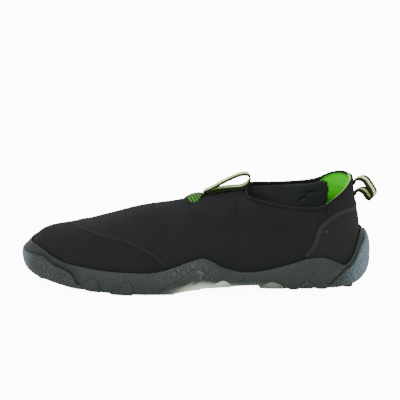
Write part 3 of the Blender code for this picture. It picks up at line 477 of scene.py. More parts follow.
class ShoeColours(bpy.types.PropertyGroup):
    """Colours of the visible pieces"""

    rubber: colour_field("Rubber", "Sole wall", (0.026, 0.034, 0.031))
    # Specks of the stipple: partly rubbed tops, partly painted glints where the sheen falls on the bumpers
    speck_and_glint_colour: colour_field("Rubber specks", "Rubbed tops of the stipple", (0.40, 0.47, 0.48))
    # Painted glow: stands in for light shining through the rubber under the arch and through the pads
    painted_glow_colour: colour_field("Pale rubber", "Thin rubber under the arch", (0.90, 0.98, 0.78))
    # Painted reflection: lighter bluish sheen on the heel and toe bumpers
    bumper_sheen_colour: colour_field("Bumper rubber", "Scuffed rubber of the bumpers", (0.100, 0.142, 0.175))
    cloth: colour_field("Upper cloth", "Stretch cloth of the upper", (0.0125, 0.0130, 0.0133))
    counter: colour_field("Heel counter", "Cloth of the heel counter", (0.0170, 0.0190, 0.0180))
    inside: colour_field("Inner cloth", "Dark lining", (0.0300, 0.0340, 0.0320))
    lining: colour_field("Heel lining", "Bright lining behind the heel", (0.080, 0.860, 0.020))
    # Painted highlight: the pale line along the binding's inner edge at the heel
    lining_edge_highlight: colour_field("Lining edge", "Lighter upper edge of the heel lining", (0.450, 0.950, 0.200))
    tape: colour_field("Seam tape", "Raised tape over the seams", (0.0235, 0.0245, 0.0240))
    binding: colour_field("Binding", "Folded edging of the collar", (0.0070, 0.0074, 0.0070))
    ribbon: colour_field("Ribbon stripe", "Pale stripe of the pull loops", (0.740, 0.960, 0.400))
    ribbon_edge: colour_field("Ribbon edge", "Dark edges of the pull loops", (0.0120, 0.0180, 0.0060))
    patch: colour_field("Patch", "Bright middle of the padded patch", (0.075, 0.260, 0.035))
    # Lighter edges: painted highlights on the pads' rear ends, also used for the lighter lower rims of the
    # tread lugs
    lighter_edge_colour: colour_field("Worn rubber", "Rubbed edges of pads and lugs", (0.26, 0.29, 0.26))
    lint: colour_field("Lint", "Small bit of lint on the heel counter", (0.80, 0.84, 0.82))
    thread: colour_field("Thread", "Sewing thread", (0.007, 0.0075, 0.007))


def fine_stations(count):
    """Angles of the ribs: closer together along the sides, where the rubber's edge waves."""
    even = np.arange(count) * 2 * np.pi / count
    return even + STATION_SPREAD * np.sin(2 * even)


def smooth(value):
    """0 below nought, 1 above one, and a soft step between."""
    value = np.clip(value, 0, 1)
    return value * value * (3 - 2 * value)


def unit(vectors):
    return vectors / np.maximum(np.linalg.norm(vectors, axis=-1, keepdims=True), 1e-12)


def rib_spots(turns, below, above):
    """Ribs at shares below the rubber's edge, then at shares above it: points and lengths."""
    points, lengths = rib_runs(turns)
    spots = np.zeros((len(turns), len(below) + len(above)))
    grid = np.zeros((*spots.shape, 3))
    for i, turn in enumerate(turns):
        edge = np.interp(rand_height(turn), points[i, :, 2], lengths[i])
        spots[i] = np.concatenate([edge * below, edge + (lengths[i, -1] - edge) * above])
        for axis in range(3):
            grid[i, :, axis] = np.interp(spots[i], lengths[i], points[i, :, axis])
    return grid, spots


def run_lengths(path):
    """Distance of each point of a path from its start, measured along it."""
    return np.concatenate([[0], np.cumsum(np.linalg.norm(np.diff(path, axis=0), axis=1))])


def skin_points(turns, shares):
    """Point of the upper's outer face for each pair of rib and share above the rubber."""
    points, lengths = rib_runs(np.asarray(turns, float))
    found = []
    for i, (turn, share) in enumerate(zip(turns, shares)):
        edge = np.interp(rand_height(turn), points[i, :, 2], lengths[i])
        at = edge + (lengths[i, -1] - edge) * share
        found.append([np.interp(at, lengths[i], points[i, :, axis]) for axis in range(3)])
    return np.array(found)


def skin_directions(turns, shares):
    """Outward direction of the upper's face for each pair of rib and share."""
    small = 0.01
    low, high = np.maximum(shares - small, 0), np.minimum(shares + small, 0.995)
    level = np.minimum(shares, 0.99)
    up = skin_points(turns, high) - skin_points(turns, low)
    around = skin_points(turns + small, level) - skin_points(turns - small, level)
    return unit(np.cross(around, up))


def closed_quads(low, high):
    """Four-sided faces between two closed loops of point numbers."""
    after_low, after_high = np.roll(low, -1), np.roll(high, -1)
    return np.stack([low, after_low, after_high, high], 1).tolist()


def ring_faces(number):
    """Four-sided faces between each closed loop of point numbers and the next."""
    return [face for low, high in zip(number, number[1:]) for face in closed_quads(low, high)]


def trimmed(faces):
    """The faces with doubled corners removed, and without those that vanish."""
    kept = []
    for face in faces:
        corners = list(dict.fromkeys(face))
        if len(corners) > 2:
            kept.append(corners)
    return kept


def across_quads(loop, upward):
    """Fills a closed loop by joining each point to the one across the shoe."""
    count = len(loop)
    faces = []
    for k in range(count // 2):
        face = [loop[k], loop[k + 1], loop[(count - k - 1) % count], loop[(count - k) % count]]
        faces.append(face if upward else face[::-1])
    return trimmed(faces)


def point_normals(points, faces):
    """Area-weighted normals of a mesh whose faces have three or four corners."""
    normals = np.zeros_like(points)
    for corners in (3, 4):
        found = np.array([face for face in faces if len(face) == corners])
        if not len(found):
            continue
        cross = np.cross(points[found[:, 1]] - points[found[:, 0]], points[found[:, 2]] - points[found[:, 0]])
        if corners == 4:
            far = points[found[:, 3]] - points[found[:, 0]]
            cross = cross + np.cross(points[found[:, 2]] - points[found[:, 0]], far)
        for i in range(corners):
            np.add.at(normals, found[:, i], cross)
    return unit(normals)


def placed(name, data):
    """A new object of the scene with the given data."""
    made = bpy.data.objects.new(name, data)
    bpy.context.scene.collection.objects.link(made)
    return made


def piece(name, points, faces, values, slot, replaced, finish, sharp):
    """One visible piece: a smooth mesh with named values at its points, and its finish."""
    mesh = bpy.data.meshes.new(name)
    mesh.from_pydata(np.asarray(points).tolist(), [], faces)
    mesh.update()
    for label, column in values.items():
        column = np.asarray(column, np.float32)
        kind = "FLOAT" if column.ndim == 1 else "FLOAT_VECTOR"
        named = mesh.attributes.new(label, kind, "POINT")
        named.data.foreach_set("value" if column.ndim == 1 else "vector", column.ravel())
    mesh.shade_smooth()
    mesh.set_sharp_from_angle(angle=math.radians(sharp))
    made = placed(name, mesh)
    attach(made, "root")
    if replaced:
        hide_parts(replaced)
    mesh.materials.append(finish)


class Nodes:
    """Short words for adding nodes to one shader tree."""

    def __init__(self, tree):
        self.tree = tree

    def add(self, kind, settings=None, **sockets):
        node = self.tree.nodes.new("ShaderNode" + kind)
        for label, value in (settings or {}).items():
            setattr(node, label, value)
        for label, value in sockets.items():
            self.feed(node.inputs[label.replace("_", " ")], value)
        return node

    def feed(self, socket, value):
        if isinstance(value, bpy.types.NodeSocket):
            self.tree.links.new(value, socket)
        else:
            socket.default_value = value

    def sum(self, operation, first, second=0.0, clamp=False):
        node = self.add("Math", {"operation": operation, "use_clamp": clamp})
        self.feed(node.inputs[0], first)
        self.feed(node.inputs[1], second)
        return node.outputs[0]

    def value(self, label):
        return self.add("Attribute", {"attribute_name": label}).outputs["Fac"]

    def place(self):
        return self.add("Attribute", {"attribute_name": "flat_place"}).outputs["Vector"]

    def spread(self, value, low, high, to_low=0.0, to_high=1.0):
        node = self.add("MapRange", {"interpolation_type": "SMOOTHSTEP"}, Value=value)
        for label, number in (("From Min", low), ("From Max", high), ("To Min", to_low), ("To Max", to_high)):
            node.inputs[label].default_value = number
        return node.outputs["Result"]

    def blend(self, share, first, second):
        node = self.add("Mix", {"data_type": "RGBA"})
        self.feed(node.inputs["Factor"], share)
        for socket, value in ((node.inputs[6], first), (node.inputs[7], second)):
            self.feed(socket, value if isinstance(value, bpy.types.NodeSocket) else (*value, 1))
        return node.outputs[2]

    def toned(self, share, colour, low, high):
        """A colour between two strengths of itself."""
        return self.blend(share, scaled(colour, low), scaled(colour, high))

    def group(self, name, **sockets):
        node = self.tree.nodes.new("ShaderNodeGroup")
        node.node_tree = effect(name)
        for label, value in sockets.items():
            self.feed(node.inputs[label.replace("_", " ")], value)
        return node.outputs


def new_group(name, inputs, outputs):
    """An empty node group with named sockets, and its two end nodes."""
    tree = bpy.data.node_groups.new(name, "ShaderNodeTree")
    for label, kind, value in inputs:
        socket = tree.interface.new_socket(label, in_out="INPUT", socket_type="NodeSocket" + kind)
        if value is not None:
            socket.default_value = value
    for label in outputs:
        tree.interface.new_socket(label, in_out="OUTPUT", socket_type="NodeSocketFloat")
    nodes = Nodes(tree)
    start, end = (tree.nodes.new("NodeGroup" + kind) for kind in ("Input", "Output"))
    return nodes, start.outputs, end.inputs


def knit_effect():
    """Fine stretch knit: rows of small loops, with a little unevenness."""
    nodes, given, out = new_group(
        "Knit", [("Place", "Vector", None), ("Density", "Float", 900.0), ("Slack", "Float", 0.4)],
        ["Height", "Shade"])
    loops = nodes.add("TexVoronoi", {"feature": "F1"}, Vector=given["Place"], Scale=given["Density"])
    wobble = nodes.add("TexNoise", Vector=given["Place"], Scale=55.0, Detail=3.0)
    height = nodes.sum("SUBTRACT", 1.0, loops.outputs["Distance"], clamp=True)
    uneven = nodes.sum("MULTIPLY", wobble.outputs["Fac"], given["Slack"])
    nodes.feed(out["Height"], nodes.sum("ADD", height, uneven))
    nodes.feed(out["Shade"], nodes.spread(wobble.outputs["Fac"], 0.35, 0.68))
    return nodes.tree


def stipple_effect():
    """Moulded stipple: small domes of two sizes, as left by a sparked mould."""
    nodes, given, out = new_group(
        "Stipple", [("Place", "Vector", None), ("Density", "Float", 700.0)], ["Height", "Sparkle"])
    grain = nodes.add("TexNoise", Vector=given["Place"], Scale=given["Density"], Detail=2.0)
    domes = nodes.add("TexVoronoi", {"feature": "SMOOTH_F1"}, Vector=given["Place"], Scale=given["Density"])
    height = nodes.sum("SUBTRACT", grain.outputs["Fac"], domes.outputs["Distance"])
    nodes.feed(out["Height"], height)
    nodes.feed(out["Sparkle"], nodes.spread(grain.outputs["Fac"], 0.50, 0.62))
    return nodes.tree


def mottle_effect():
    """Broad uneven tone, as dye and handling leave on cloth and rubber."""
    nodes, given, out = new_group(
        "Mottle", [("Place", "Vector", None), ("Density", "Float", 30.0)], ["Shade", "Blotch"])
    broad = nodes.add("TexNoise", Vector=given["Place"], Scale=given["Density"], Detail=4.0, Roughness=0.6)
    patch = nodes.add("TexNoise", Vector=given["Place"], Scale=11.0, Detail=2.0)
    nodes.feed(out["Shade"], nodes.spread(broad.outputs["Fac"], 0.30, 0.70))
    nodes.feed(out["Blotch"], nodes.spread(patch.outputs["Fac"], 0.48, 0.66))
    return nodes.tree


def weave_effect():
    """Ribbon weave: ribs across the ribbon, broken by its warp threads."""
    nodes, given, out = new_group(
        "Weave", [("Place", "Vector", None), ("Ribs", "Float", 1300.0), ("Threads", "Float", 2100.0)],
        ["Height"])
    part = nodes.add("SeparateXYZ", Vector=given["Place"])
    waves = []
    for axis, count in (("X", "Ribs"), ("Y", "Threads")):
        rate = nodes.sum("MULTIPLY", given[count], 6.28)
        waves.append(nodes.sum("SINE", nodes.sum("MULTIPLY", part.outputs[axis], rate)))
    nodes.feed(out["Height"], nodes.sum("MULTIPLY_ADD", waves[0], nodes.sum("MULTIPLY", waves[1], 0.5)))
    return nodes.tree


EFFECTS = {"Knit": knit_effect, "Stipple": stipple_effect, "Mottle": mottle_effect, "Weave": weave_effect}


def effect(name):
    return bpy.data.node_groups.get(name) or EFFECTS[name]()


def finish_for(name, roughness, specular=0.5, sheen=0.0):
    """A material with one Principled shader, and the words for adding to it."""
    made = bpy.data.materials.new(name)
    made.use_nodes = True
    shader = made.node_tree.nodes["Principled BSDF"]
    shader.inputs["Roughness"].default_value = roughness
    shader.inputs["Specular IOR Level"].default_value = specular
    shader.inputs["Sheen Weight"].default_value = sheen
    shader.inputs["Sheen Roughness"].default_value = 0.5
    return made, Nodes(made.node_tree), shader


def dress(nodes, shader, colour, roughness, height, distance, strength):
    """Gives a shader its colour, its roughness and a fine raised grain."""
    grain = nodes.add("Bump", Height=height, Distance=distance, Strength=strength)
    nodes.feed(shader.inputs["Base Color"], colour)
    nodes.feed(shader.inputs["Roughness"], roughness)
    nodes.feed(shader.inputs["Normal"], grain.outputs["Normal"])


def object_place(nodes):
    return nodes.add("TexCoord").outputs["Object"]


def scaled(colour, amount):
    return tuple(channel * amount for channel in colour)


def turn_of(along):
    """Angle round the shoe for a share of the length: 0 at the toe, pi at the heel."""
    return np.arccos(1 - 2 * np.clip(along, 0.0, 1.0))


def slopes_of(x, y, steady):
    """Slope at each inner point. A steady curve never runs past its points."""
    step = np.diff(x)
    rate = np.diff(y) / step
    before, after = rate[:-1], rate[1:]
    mixed = (before * step[1:] + after * step[:-1]) / (step[1:] + step[:-1])
    if steady:
        both = before * after
        total = np.where(both > 0, before + after, 1.0)
        mixed = np.where(both > 0, 2 * both / total, 0.0)
    return mixed


def hermite(x, y, steady, at):
    slope = np.concatenate([[0.0], slopes_of(x, y, steady), [0.0]])
    i = np.clip(np.searchsorted(x, at, side="right") - 1, 0, len(x) - 2)
    step = x[i + 1] - x[i]
    t = (at - x[i]) / step
    rise = t * t * (3 - 2 * t)
    leave = t * (1 - t) ** 2 * step * slope[i]
    arrive = t * t * (t - 1) * step * slope[i + 1]
    return y[i] + (y[i + 1] - y[i]) * rise + leave + arrive


def ring(rows, lateral, medial, size=1.0, steady=False):
    """A smooth closed run of values round the shoe, from the columns of its two sides."""
    turns = turn_of(np.array([row.along for row in rows]))
    outer = np.array([getattr(row, lateral) for row in rows]) * size
    inner = np.array([getattr(row, medial) for row in rows]) * size
    x = np.concatenate([turns, 2 * np.pi - turns[-2:0:-1]])
    y = np.concatenate([outer, inner[-2:0:-1]])
    x = np.concatenate([x[-3:] - 2 * np.pi, x, x[:3] + 2 * np.pi])
    y = np.concatenate([y[-3:], y, y[:3]])
    return lambda turn: hermite(x, y, steady, np.asarray(turn, float) % (2 * np.pi))


reach_across = ring(PLAN, "lateral", "medial", BALL_WIDTH)
tread_height = ring(PROFILE, "tread", "tread", HEEL_HEIGHT, steady=True)
floor_height = ring(PROFILE, "floor", "floor", HEEL_HEIGHT, steady=True)
bulge_height = ring(PROFILE, "bulge", "bulge", HEEL_HEIGHT, steady=True)
edge_inset = ring(PROFILE, "edge", "edge", HEEL_HEIGHT, steady=True)
feather_inset = ring(PROFILE, "feather", "feather", HEEL_HEIGHT, steady=True)
rand_height = ring(RAND, "height", "height", HEEL_HEIGHT)
rand_body = ring(RAND, "body", "body", steady=True)
step_height = ring(STEP, "height", "height", HEEL_HEIGHT, steady=True)
step_proud = ring(STEP, "proud", "proud", steady=True)
top_reach = ring(TOP, "reach", "reach")
top_across = ring(TOP, "lateral", "medial", BALL_WIDTH)
top_height = ring(TOP, "low", "high", HEEL_HEIGHT)
top_lay = ring(TOP, "lay", "lay", steady=True)
top_ahead = ring(TOP, "ahead", "ahead", steady=True)


def x_of(along):
    return (np.asarray(along, float) - REST_ALONG) * LENGTH


def along_of_x(x):
    return x / LENGTH + REST_ALONG


def along_of(turn):
    return (1 - np.cos(turn)) / 2


def plan_point(turn):
    """Point of the sole's outline, and the level direction that faces out of it."""
    turn = np.asarray(turn, float)
    small = 1e-4
    here = np.stack([x_of(along_of(turn)), reach_across(turn)], -1)
    ahead = np.stack([x_of(along_of(turn + small)), reach_across(turn + small)], -1)
    back = np.stack([x_of(along_of(turn - small)), reach_across(turn - small)], -1)
    run = ahead - back
    run /= np.linalg.norm(run, axis=-1, keepdims=True)
    return here, np.stack([run[..., 1], -run[..., 0]], -1)


def with_height(level, height):
    return np.concatenate([level, np.broadcast_to(height, level.shape[:-1])[..., None]], -1)


def rib_handles(turn):
    """The four points of each rib's curve, from the feather edge to the ridge or the collar."""
    turn = np.asarray(turn, float)
    outline, out = plan_point(turn)
    foot = with_height(outline - out * feather_inset(turn)[..., None], floor_height(turn) + GAP)
    mirror = 2 * np.pi - turn
    side = np.minimum(turn, mirror)
    on_ridge = side <= turn_of(FRONT_ALONG) + 1e-6
    across = np.where(on_ridge, (top_across(turn) + top_across(mirror)) / 2, top_across(turn))
    height = np.where(on_ridge, (top_height(turn) + top_height(mirror)) / 2, top_height(turn))
    reach = top_reach(turn)
    top = np.stack([x_of(reach), across, height], -1)
    away = foot[..., :2] - top[..., :2]
    span = np.linalg.norm(away, axis=-1)
    away = away / span[..., None]
    ahead = top_ahead(turn)[..., None]
    away = away * (1 - ahead) + np.array([-1.0, 0.0]) * ahead
    away = away / np.linalg.norm(away, axis=-1, keepdims=True)
    rise = height - foot[..., 2]
    lay = top_lay(turn) * np.pi / 2
    level = np.cos(lay) * span * (0.60 - 0.22 * ahead[..., 0])
    drop = np.sin(lay) * rise * 0.34 - np.cos(lay) * level * RIDGE_SLOPE * away[..., 0]
    spread = np.sin(lay) * FLARE
    near_top = top.copy()
    near_top[..., :2] += away * (level + spread)[..., None]
    near_top[..., 2] -= drop
    near_foot = foot.copy()
    near_foot[..., :2] += out * (RIB_BELLY * np.sin(side))[..., None]
    near_foot[..., 2] += rise * (0.80 - 0.24 * np.sin(side) - 0.16 * np.sin(lay))
    return foot, near_foot, near_top, top


def bezier(handles, t):
    a, b, c, d = handles
    t = np.asarray(t, float)[..., None]
    return a * (1 - t) ** 3 + 3 * b * t * (1 - t) ** 2 + 3 * c * t * t * (1 - t) + d * t**3


def rib_runs(turns):
    """Each rib sampled closely: its points and its run of lengths."""
    handles = rib_handles(turns)
    t = np.linspace(0, 1, 81)
    points = np.stack([bezier(handles, np.full(len(turns), value)) for value in t], 1)
    steps = np.linalg.norm(np.diff(points, axis=1), axis=-1)
    lengths = np.concatenate([np.zeros((len(turns), 1)), np.cumsum(steps, axis=1)], axis=1)
    return points, lengths


def lug_outline(centre, length, width, turn):
    """A six-sided leaf, long across the shoe."""
    shares = ((-0.5, -0.28), (0.0, -0.5), (0.5, -0.28), (0.5, 0.28), (0.0, 0.5), (-0.5, 0.28))
    found = []
    for along, across in shares:
        x, y = along * length, across * width
        cos, sin = math.cos(turn), math.sin(turn)
        found.append([centre[0] + x * cos - y * sin, centre[1] + x * sin + y * cos])
    return np.array(found)


def ground_at(point):
    return float(tread_height(turn_of(along_of_x(point[0]))))


def lengthened(values):
    """The values with one more at each end, in line with the last two."""
    return np.concatenate([[2 * values[0] - values[1]], values, [2 * values[-1] - values[-2]]])


def bend_path(rows, steps):
    along = np.array([x_of(row.along) for row in rows])
    height = np.array([row.height for row in rows]) * HEEL_HEIGHT
    run = np.concatenate([[0], np.cumsum(np.hypot(np.diff(along), np.diff(height)))])
    at = np.linspace(0, run[-1], steps)
    found = [hermite(lengthened(run), lengthened(values), False, at) for values in (along, height)]
    return np.stack(found, 1)


def half_path(rows, steps, over_ridge):
    """Ribs and shares of a path's lateral half, drawn so that its mirrored half joins it smoothly."""
    turns = turn_of(np.array([row.along for row in rows]))
    shares = np.array([row.share for row in rows])
    after_turn = turns[-2] if over_ridge else 2 * np.pi - turns[-2]
    after_share = 2 - shares[-2] if over_ridge else shares[-2]
    turns = np.append(lengthened(turns)[:-1], after_turn)
    shares = np.append(lengthened(shares)[:-1], after_share)
    key = np.arange(-1.0, len(rows) + 1.0)
    at = np.linspace(0, len(rows) - 1, steps)
    return hermite(key, turns, False, at), np.clip(hermite(key, shares, False, at), 0, 1)


def cloth_finish(colours):
    """Stretch cloth of the upper, with its panels, mesh, pressed lines and linings."""
    made, nodes, shader = finish_for("stretch_cloth", 0.82, 0.12, sheen=0.02)
    place = nodes.place()
    mottle = nodes.group("Mottle", Place=object_place(nodes), Density=26.0)
    knit = nodes.group("Knit", Place=place, Density=1150.0)
    coarse = nodes.group("Knit", Place=place, Density=560.0, Slack=0.1)
    colour = nodes.toned(mottle["Blotch"], colours.cloth, 1.0, 1.16)
    colour = nodes.blend(nodes.value("toe_panel"), colour, scaled(colours.cloth, 0.92))
    colour = nodes.blend(nodes.value("counter_panel"), colour, colours.counter[:])
    holes = nodes.spread(coarse["Height"], 0.50, 0.86)
    mesh = nodes.sum("MULTIPLY", nodes.value("mesh_panel"), holes)
    colour = nodes.blend(nodes.sum("MULTIPLY", mesh, 0.5), colour, scaled(colours.cloth, 1.9))
    worn = nodes.sum("MULTIPLY", knit["Shade"], 0.16)
    colour = nodes.blend(worn, colour, scaled(colours.cloth, 1.7))
    nap = nodes.sum("MULTIPLY", nodes.sum("SUBTRACT", 1.0, mottle["Shade"]), 0.22)
    inside = nodes.toned(nap, colours.lining, 1.0, 0.52)
    # Painted shade: the heel lining darker further down inside the shoe
    inside = nodes.blend(nodes.value("lining_painted_shade"), inside, scaled(colours.lining, 0.22))
    inside = nodes.blend(nodes.value("heel_lining"), colours.inside[:], inside)
    colour = nodes.blend(nodes.value("inner_face"), colour, inside)
    pressed = nodes.sum("MULTIPLY", nodes.value("pressed"), 0.7)
    colour = nodes.blend(pressed, colour, scaled(colours.cloth, 0.45))
    colour = nodes.blend(nodes.value("lint"), colour, colours.lint[:])
    rough = nodes.sum("ADD", nodes.sum("MULTIPLY", mottle["Shade"], -0.10), 0.88)
    height = nodes.sum("ADD", knit["Height"], nodes.sum("MULTIPLY", mesh, 1.5))
    dress(nodes, shader, colour, rough, height, 0.00016, 0.55)
    return made


def rubber_finish(colours):
    """Moulded rubber: stippled, with a painted glow where it is thin, painted shade in its grooves and
    corners, and lighter edges that are painted highlights on the pads and lighter rims on the lugs.
    """
    made, nodes, shader = finish_for("moulded_rubber", 0.55, 0.22)
    place = object_place(nodes)
    mottle = nodes.group("Mottle", Place=place, Density=60.0)
    stipple = nodes.group("Stipple", Place=place, Density=900.0)
    colour = nodes.toned(mottle["Shade"], colours.rubber, 0.86, 1.16)
    # Painted reflection: lighter bluish sheen at the heel and toe ends of the bumpers
    colour = nodes.blend(nodes.value("blue"), colour, colours.bumper_sheen_colour[:])
    # Painted glow: pale rubber in place of light shining through the arch and the pads
    colour = nodes.blend(nodes.value("pale"), colour, colours.painted_glow_colour[:])
    # Bright specks: partly rubbed stipple, partly painted glints on the bumpers and the pads' rear ends
    speck = nodes.sum("MULTIPLY", stipple["Sparkle"], nodes.value("speck"))
    colour = nodes.blend(speck, colour, colours.speck_and_glint_colour[:])
    # Lighter edges: painted highlights on the pads, lighter rims on the lugs
    colour = nodes.blend(nodes.sum("MULTIPLY", nodes.value("worn"), 0.75), colour, colours.lighter_edge_colour[:])
    # Painted shade: darker rubber in the grooves, at the pads' joints and in the band over the toe bumper
    colour = nodes.blend(nodes.value("groove"), colour, scaled(colours.rubber, 0.40))
    rough = nodes.sum("MULTIPLY_ADD", mottle["Shade"], 0.14)
    rough.node.inputs[2].default_value = 0.46
    dress(nodes, shader, colour, rough, stipple["Height"], 0.00022, 0.6)
    return made


def skin_mesh(above, below):
    """Points, faces and numbers of the upper's outer face, its ridge shared by both sides."""
    turns = fine_stations(SKIN_STATIONS)
    grid, spots = rib_spots(turns, below, above)
    count, rows = spots.shape
    limit = turn_of(FRONT_ALONG) + 1e-6
    side = np.minimum(turns, 2 * np.pi - turns)
    number = np.arange(count * rows).reshape(count, rows)
    for k in np.nonzero((side <= limit) & (turns > np.pi))[0]:
        number[k, -1] = number[count - k, -1]
    return turns, grid.reshape(-1, 3), spots, number, trimmed(ring_faces(number.T))


def near_path(points, path):
    """Distance of each point from a path of points, and the nearest place's share along it."""
    best = np.full(len(points), 9.0)
    where = np.zeros(len(points))
    for i in range(len(path) - 1):
        run = path[i + 1] - path[i]
        at = np.clip((points - path[i]) @ run / (run @ run), 0, 1)
        gap = np.linalg.norm(points - path[i] - at[:, None] * run, axis=1)
        nearer = gap < best
        best = np.where(nearer, gap, best)
        where = np.where(nearer, (i + at) / (len(path) - 1), where)
    return best, where


def crease_depth(points, creases):
    """How far the listed creases push each point in."""
    total = np.zeros(len(points))
    for crease in creases:
        share = np.linspace(0, 1, 15)
        bow = 0.03 * np.sin(np.pi * share)
        alongs = crease.start[0] + (crease.end[0] - crease.start[0]) * share + bow * 0.4
        heights = crease.start[1] + (crease.end[1] - crease.start[1]) * share + bow
        for side in (-1, 1):
            if crease.side == -side:
                continue
            turns = turn_of(alongs) if side < 0 else 2 * np.pi - turn_of(alongs)
            gap, at = near_path(points, skin_points(turns, np.clip(heights, 0, 1)))
            fade = np.sqrt(np.clip(np.sin(np.pi * at), 0, 1))
            total += crease.depth * fade * np.exp(-(gap / crease.width) ** 2)
    return total


def seam_line(rows, steps=24):
    """The lateral and the medial path of a seam."""
    key = np.arange(len(rows))
    at = np.linspace(0, len(rows) - 1, steps)
    turns = turn_of(np.interp(at, key, [row.along for row in rows]))
    shares = np.interp(at, key, [row.share for row in rows])
    return [skin_points(turns, shares), skin_points(2 * np.pi - turns, shares)]


def inside_panel(along, share, corners):
    """1 where a place lies in a panel, given by its corners as (along, share)."""
    found = np.zeros(len(along), bool)
    for (x1, y1), (x2, y2) in zip(corners, corners[1:] + corners[:1]):
        crosses = (y1 > share) != (y2 > share)
        slope = (x2 - x1) * (share - y1) / (y2 - y1 if y2 != y1 else 1.0) + x1
        found ^= crosses & (along < slope)
    return found.astype(float)


def perimeter_places(turns):
    """Distance of each rib from the toe, measured along the sole's outline on its own side."""
    close = np.linspace(0, np.pi, 400)
    outline, _ = plan_point(close)
    return np.interp(np.minimum(turns, 2 * np.pi - turns), close, run_lengths(outline))


def make_upper(sizes, colours):
    """The hollow upper: outer cloth, padded dark lining and bright heel lining."""
    below = np.array([0.0, 0.45, 0.8])
    turns, outer, spots, number, faces = skin_mesh(SKIN_SHARES, below)
    count, rows = spots.shape
    normals = point_normals(outer, faces)
    for row in range(rows):
        shared = number[:, row]
        normals[row::rows] = normals[shared]
    along = np.repeat(along_of(turns), rows)
    share = np.tile(np.concatenate([below - 1.0, SKIN_SHARES]), count)
    pressed = np.zeros(len(outer))
    for path, strength in ((SIDE_SEAM, 1.0), (VAMP_EDGE, 0.35)):
        for line in seam_line(path):
            gap, _ = near_path(outer, line)
            pressed = np.maximum(pressed, strength * np.exp(-(gap / PRESSED_WIDTH) ** 2))
    depth = crease_depth(outer, CREASES) * sizes.crease_strength
    quiet = smooth(share / 0.12) * smooth((1.0 - share) / 0.05 + 0.25)
    shaped = outer - normals * (depth * quiet + pressed * sizes.seam_depth)[:, None]
    limit = np.interp(share, [spot.share for spot in LINING_EDGE], [spot.along for spot in LINING_EDGE])
    wave = sum(far * np.sin(share * rate + start) for far, rate, start in LINING_WAVES)
    past = (along - limit - wave) * LENGTH
    padded = smooth(-past / PADDING_EDGE) * smooth((PADDING_LENGTH + past) / 0.030)
    padded = padded * smooth((share - 0.1) / 0.2)
    puckers = crease_depth(outer, PUCKERS)
    thick = WALL + padded * sizes.pad_fade * smooth((1.0 - share) / 0.04 + 0.3) - puckers
    inner = shaped - normals * thick[:, None]
    lowest = number[:, 0]
    inner[lowest, 2] = shaped[lowest, 2]
    shift = len(outer)
    all_faces = faces + [[i + shift for i in face[::-1]] for face in faces]
    all_faces += closed_quads(lowest + shift, lowest)
    collar = collar_numbers(turns, number)
    all_faces += closed_quads(collar, collar + shift)
    lint, _ = near_path(outer, skin_points(turn_of(np.full(3, LINT_SPOT.along)),
                                           LINT_SPOT.share + np.array([-0.014, 0.0, 0.014])))
    zeros = np.zeros(len(outer))
    flat = np.stack([np.repeat(perimeter_places(turns), rows), spots.ravel(), zeros], 1)
    values = {
        **{label: (inside_panel(along, share, corners), zeros) for label, corners in PANELS.items()},
        "pressed": (pressed, zeros),
        "lint": (np.exp(-(lint / LINT_SIZE) ** 2), zeros),
        "inner_face": (zeros, zeros + 1),
        "heel_lining": (zeros, smooth(past / LINING_FADE)),
        # Painted shade of the heel lining, stronger further down inside the shoe
        "lining_painted_shade": (zeros, smooth((0.80 - share) / 0.22)),
    }
    values = {label: np.concatenate(pair) for label, pair in values.items()}
    values["flat_place"] = np.concatenate([flat, flat + np.array([0.5, 0, 0])])
    used, renumbered = compact(all_faces, 2 * len(outer))
    points = np.concatenate([shaped, inner])[used]
    values = {label: column[used] for label, column in values.items()}
    finish = cloth_finish(colours)
    piece("upper_cloth", points, renumbered, values, "upper_cloth", "upper", finish, sharp=60)


def compact(faces, count):
    """Leaves out points that no face uses."""
    used = np.zeros(count, bool)
    for face in faces:
        used[face] = True
    order = np.cumsum(used) - 1
    return np.nonzero(used)[0], [[int(order[i]) for i in face] for face in faces]


def collar_numbers(turns, number):
    """Point numbers of the collar's edge, from its front round the heel and back."""
    front = int(np.nonzero(turns <= turn_of(FRONT_ALONG) + 1e-6)[0][-1])
    return number[front: len(turns) - front, -1]


def wall_grid(turns, rim, base):
    """Outer face of the sole's wall: stations by rows of WALL_SHARES, with its outward directions."""
    outline, out = plan_point(turns)
    widest = bulge_height(turns)
    height = base[:, None] + (rim[:, 2] - base)[:, None] * WALL_SHARES
    depth = np.clip((widest[:, None] - height) / (widest - base)[:, None], 0, 1)
    tuck = edge_inset(turns)[:, None] * (1 - np.sqrt(1 - depth * depth))
    lean = np.clip((height - widest[:, None]) / (rim[:, 2] - widest)[:, None], 0, 1)
    lean = lean ** rand_body(turns)[:, None]
    away = (rim[:, :2] - outline)[:, None, :] * lean[..., None]
    level = outline[:, None, :] + away - out[:, None, :] * tuck[..., None]
    return np.concatenate([level, height[..., None]], -1), np.concatenate([out, np.zeros((len(out), 1))], 1)


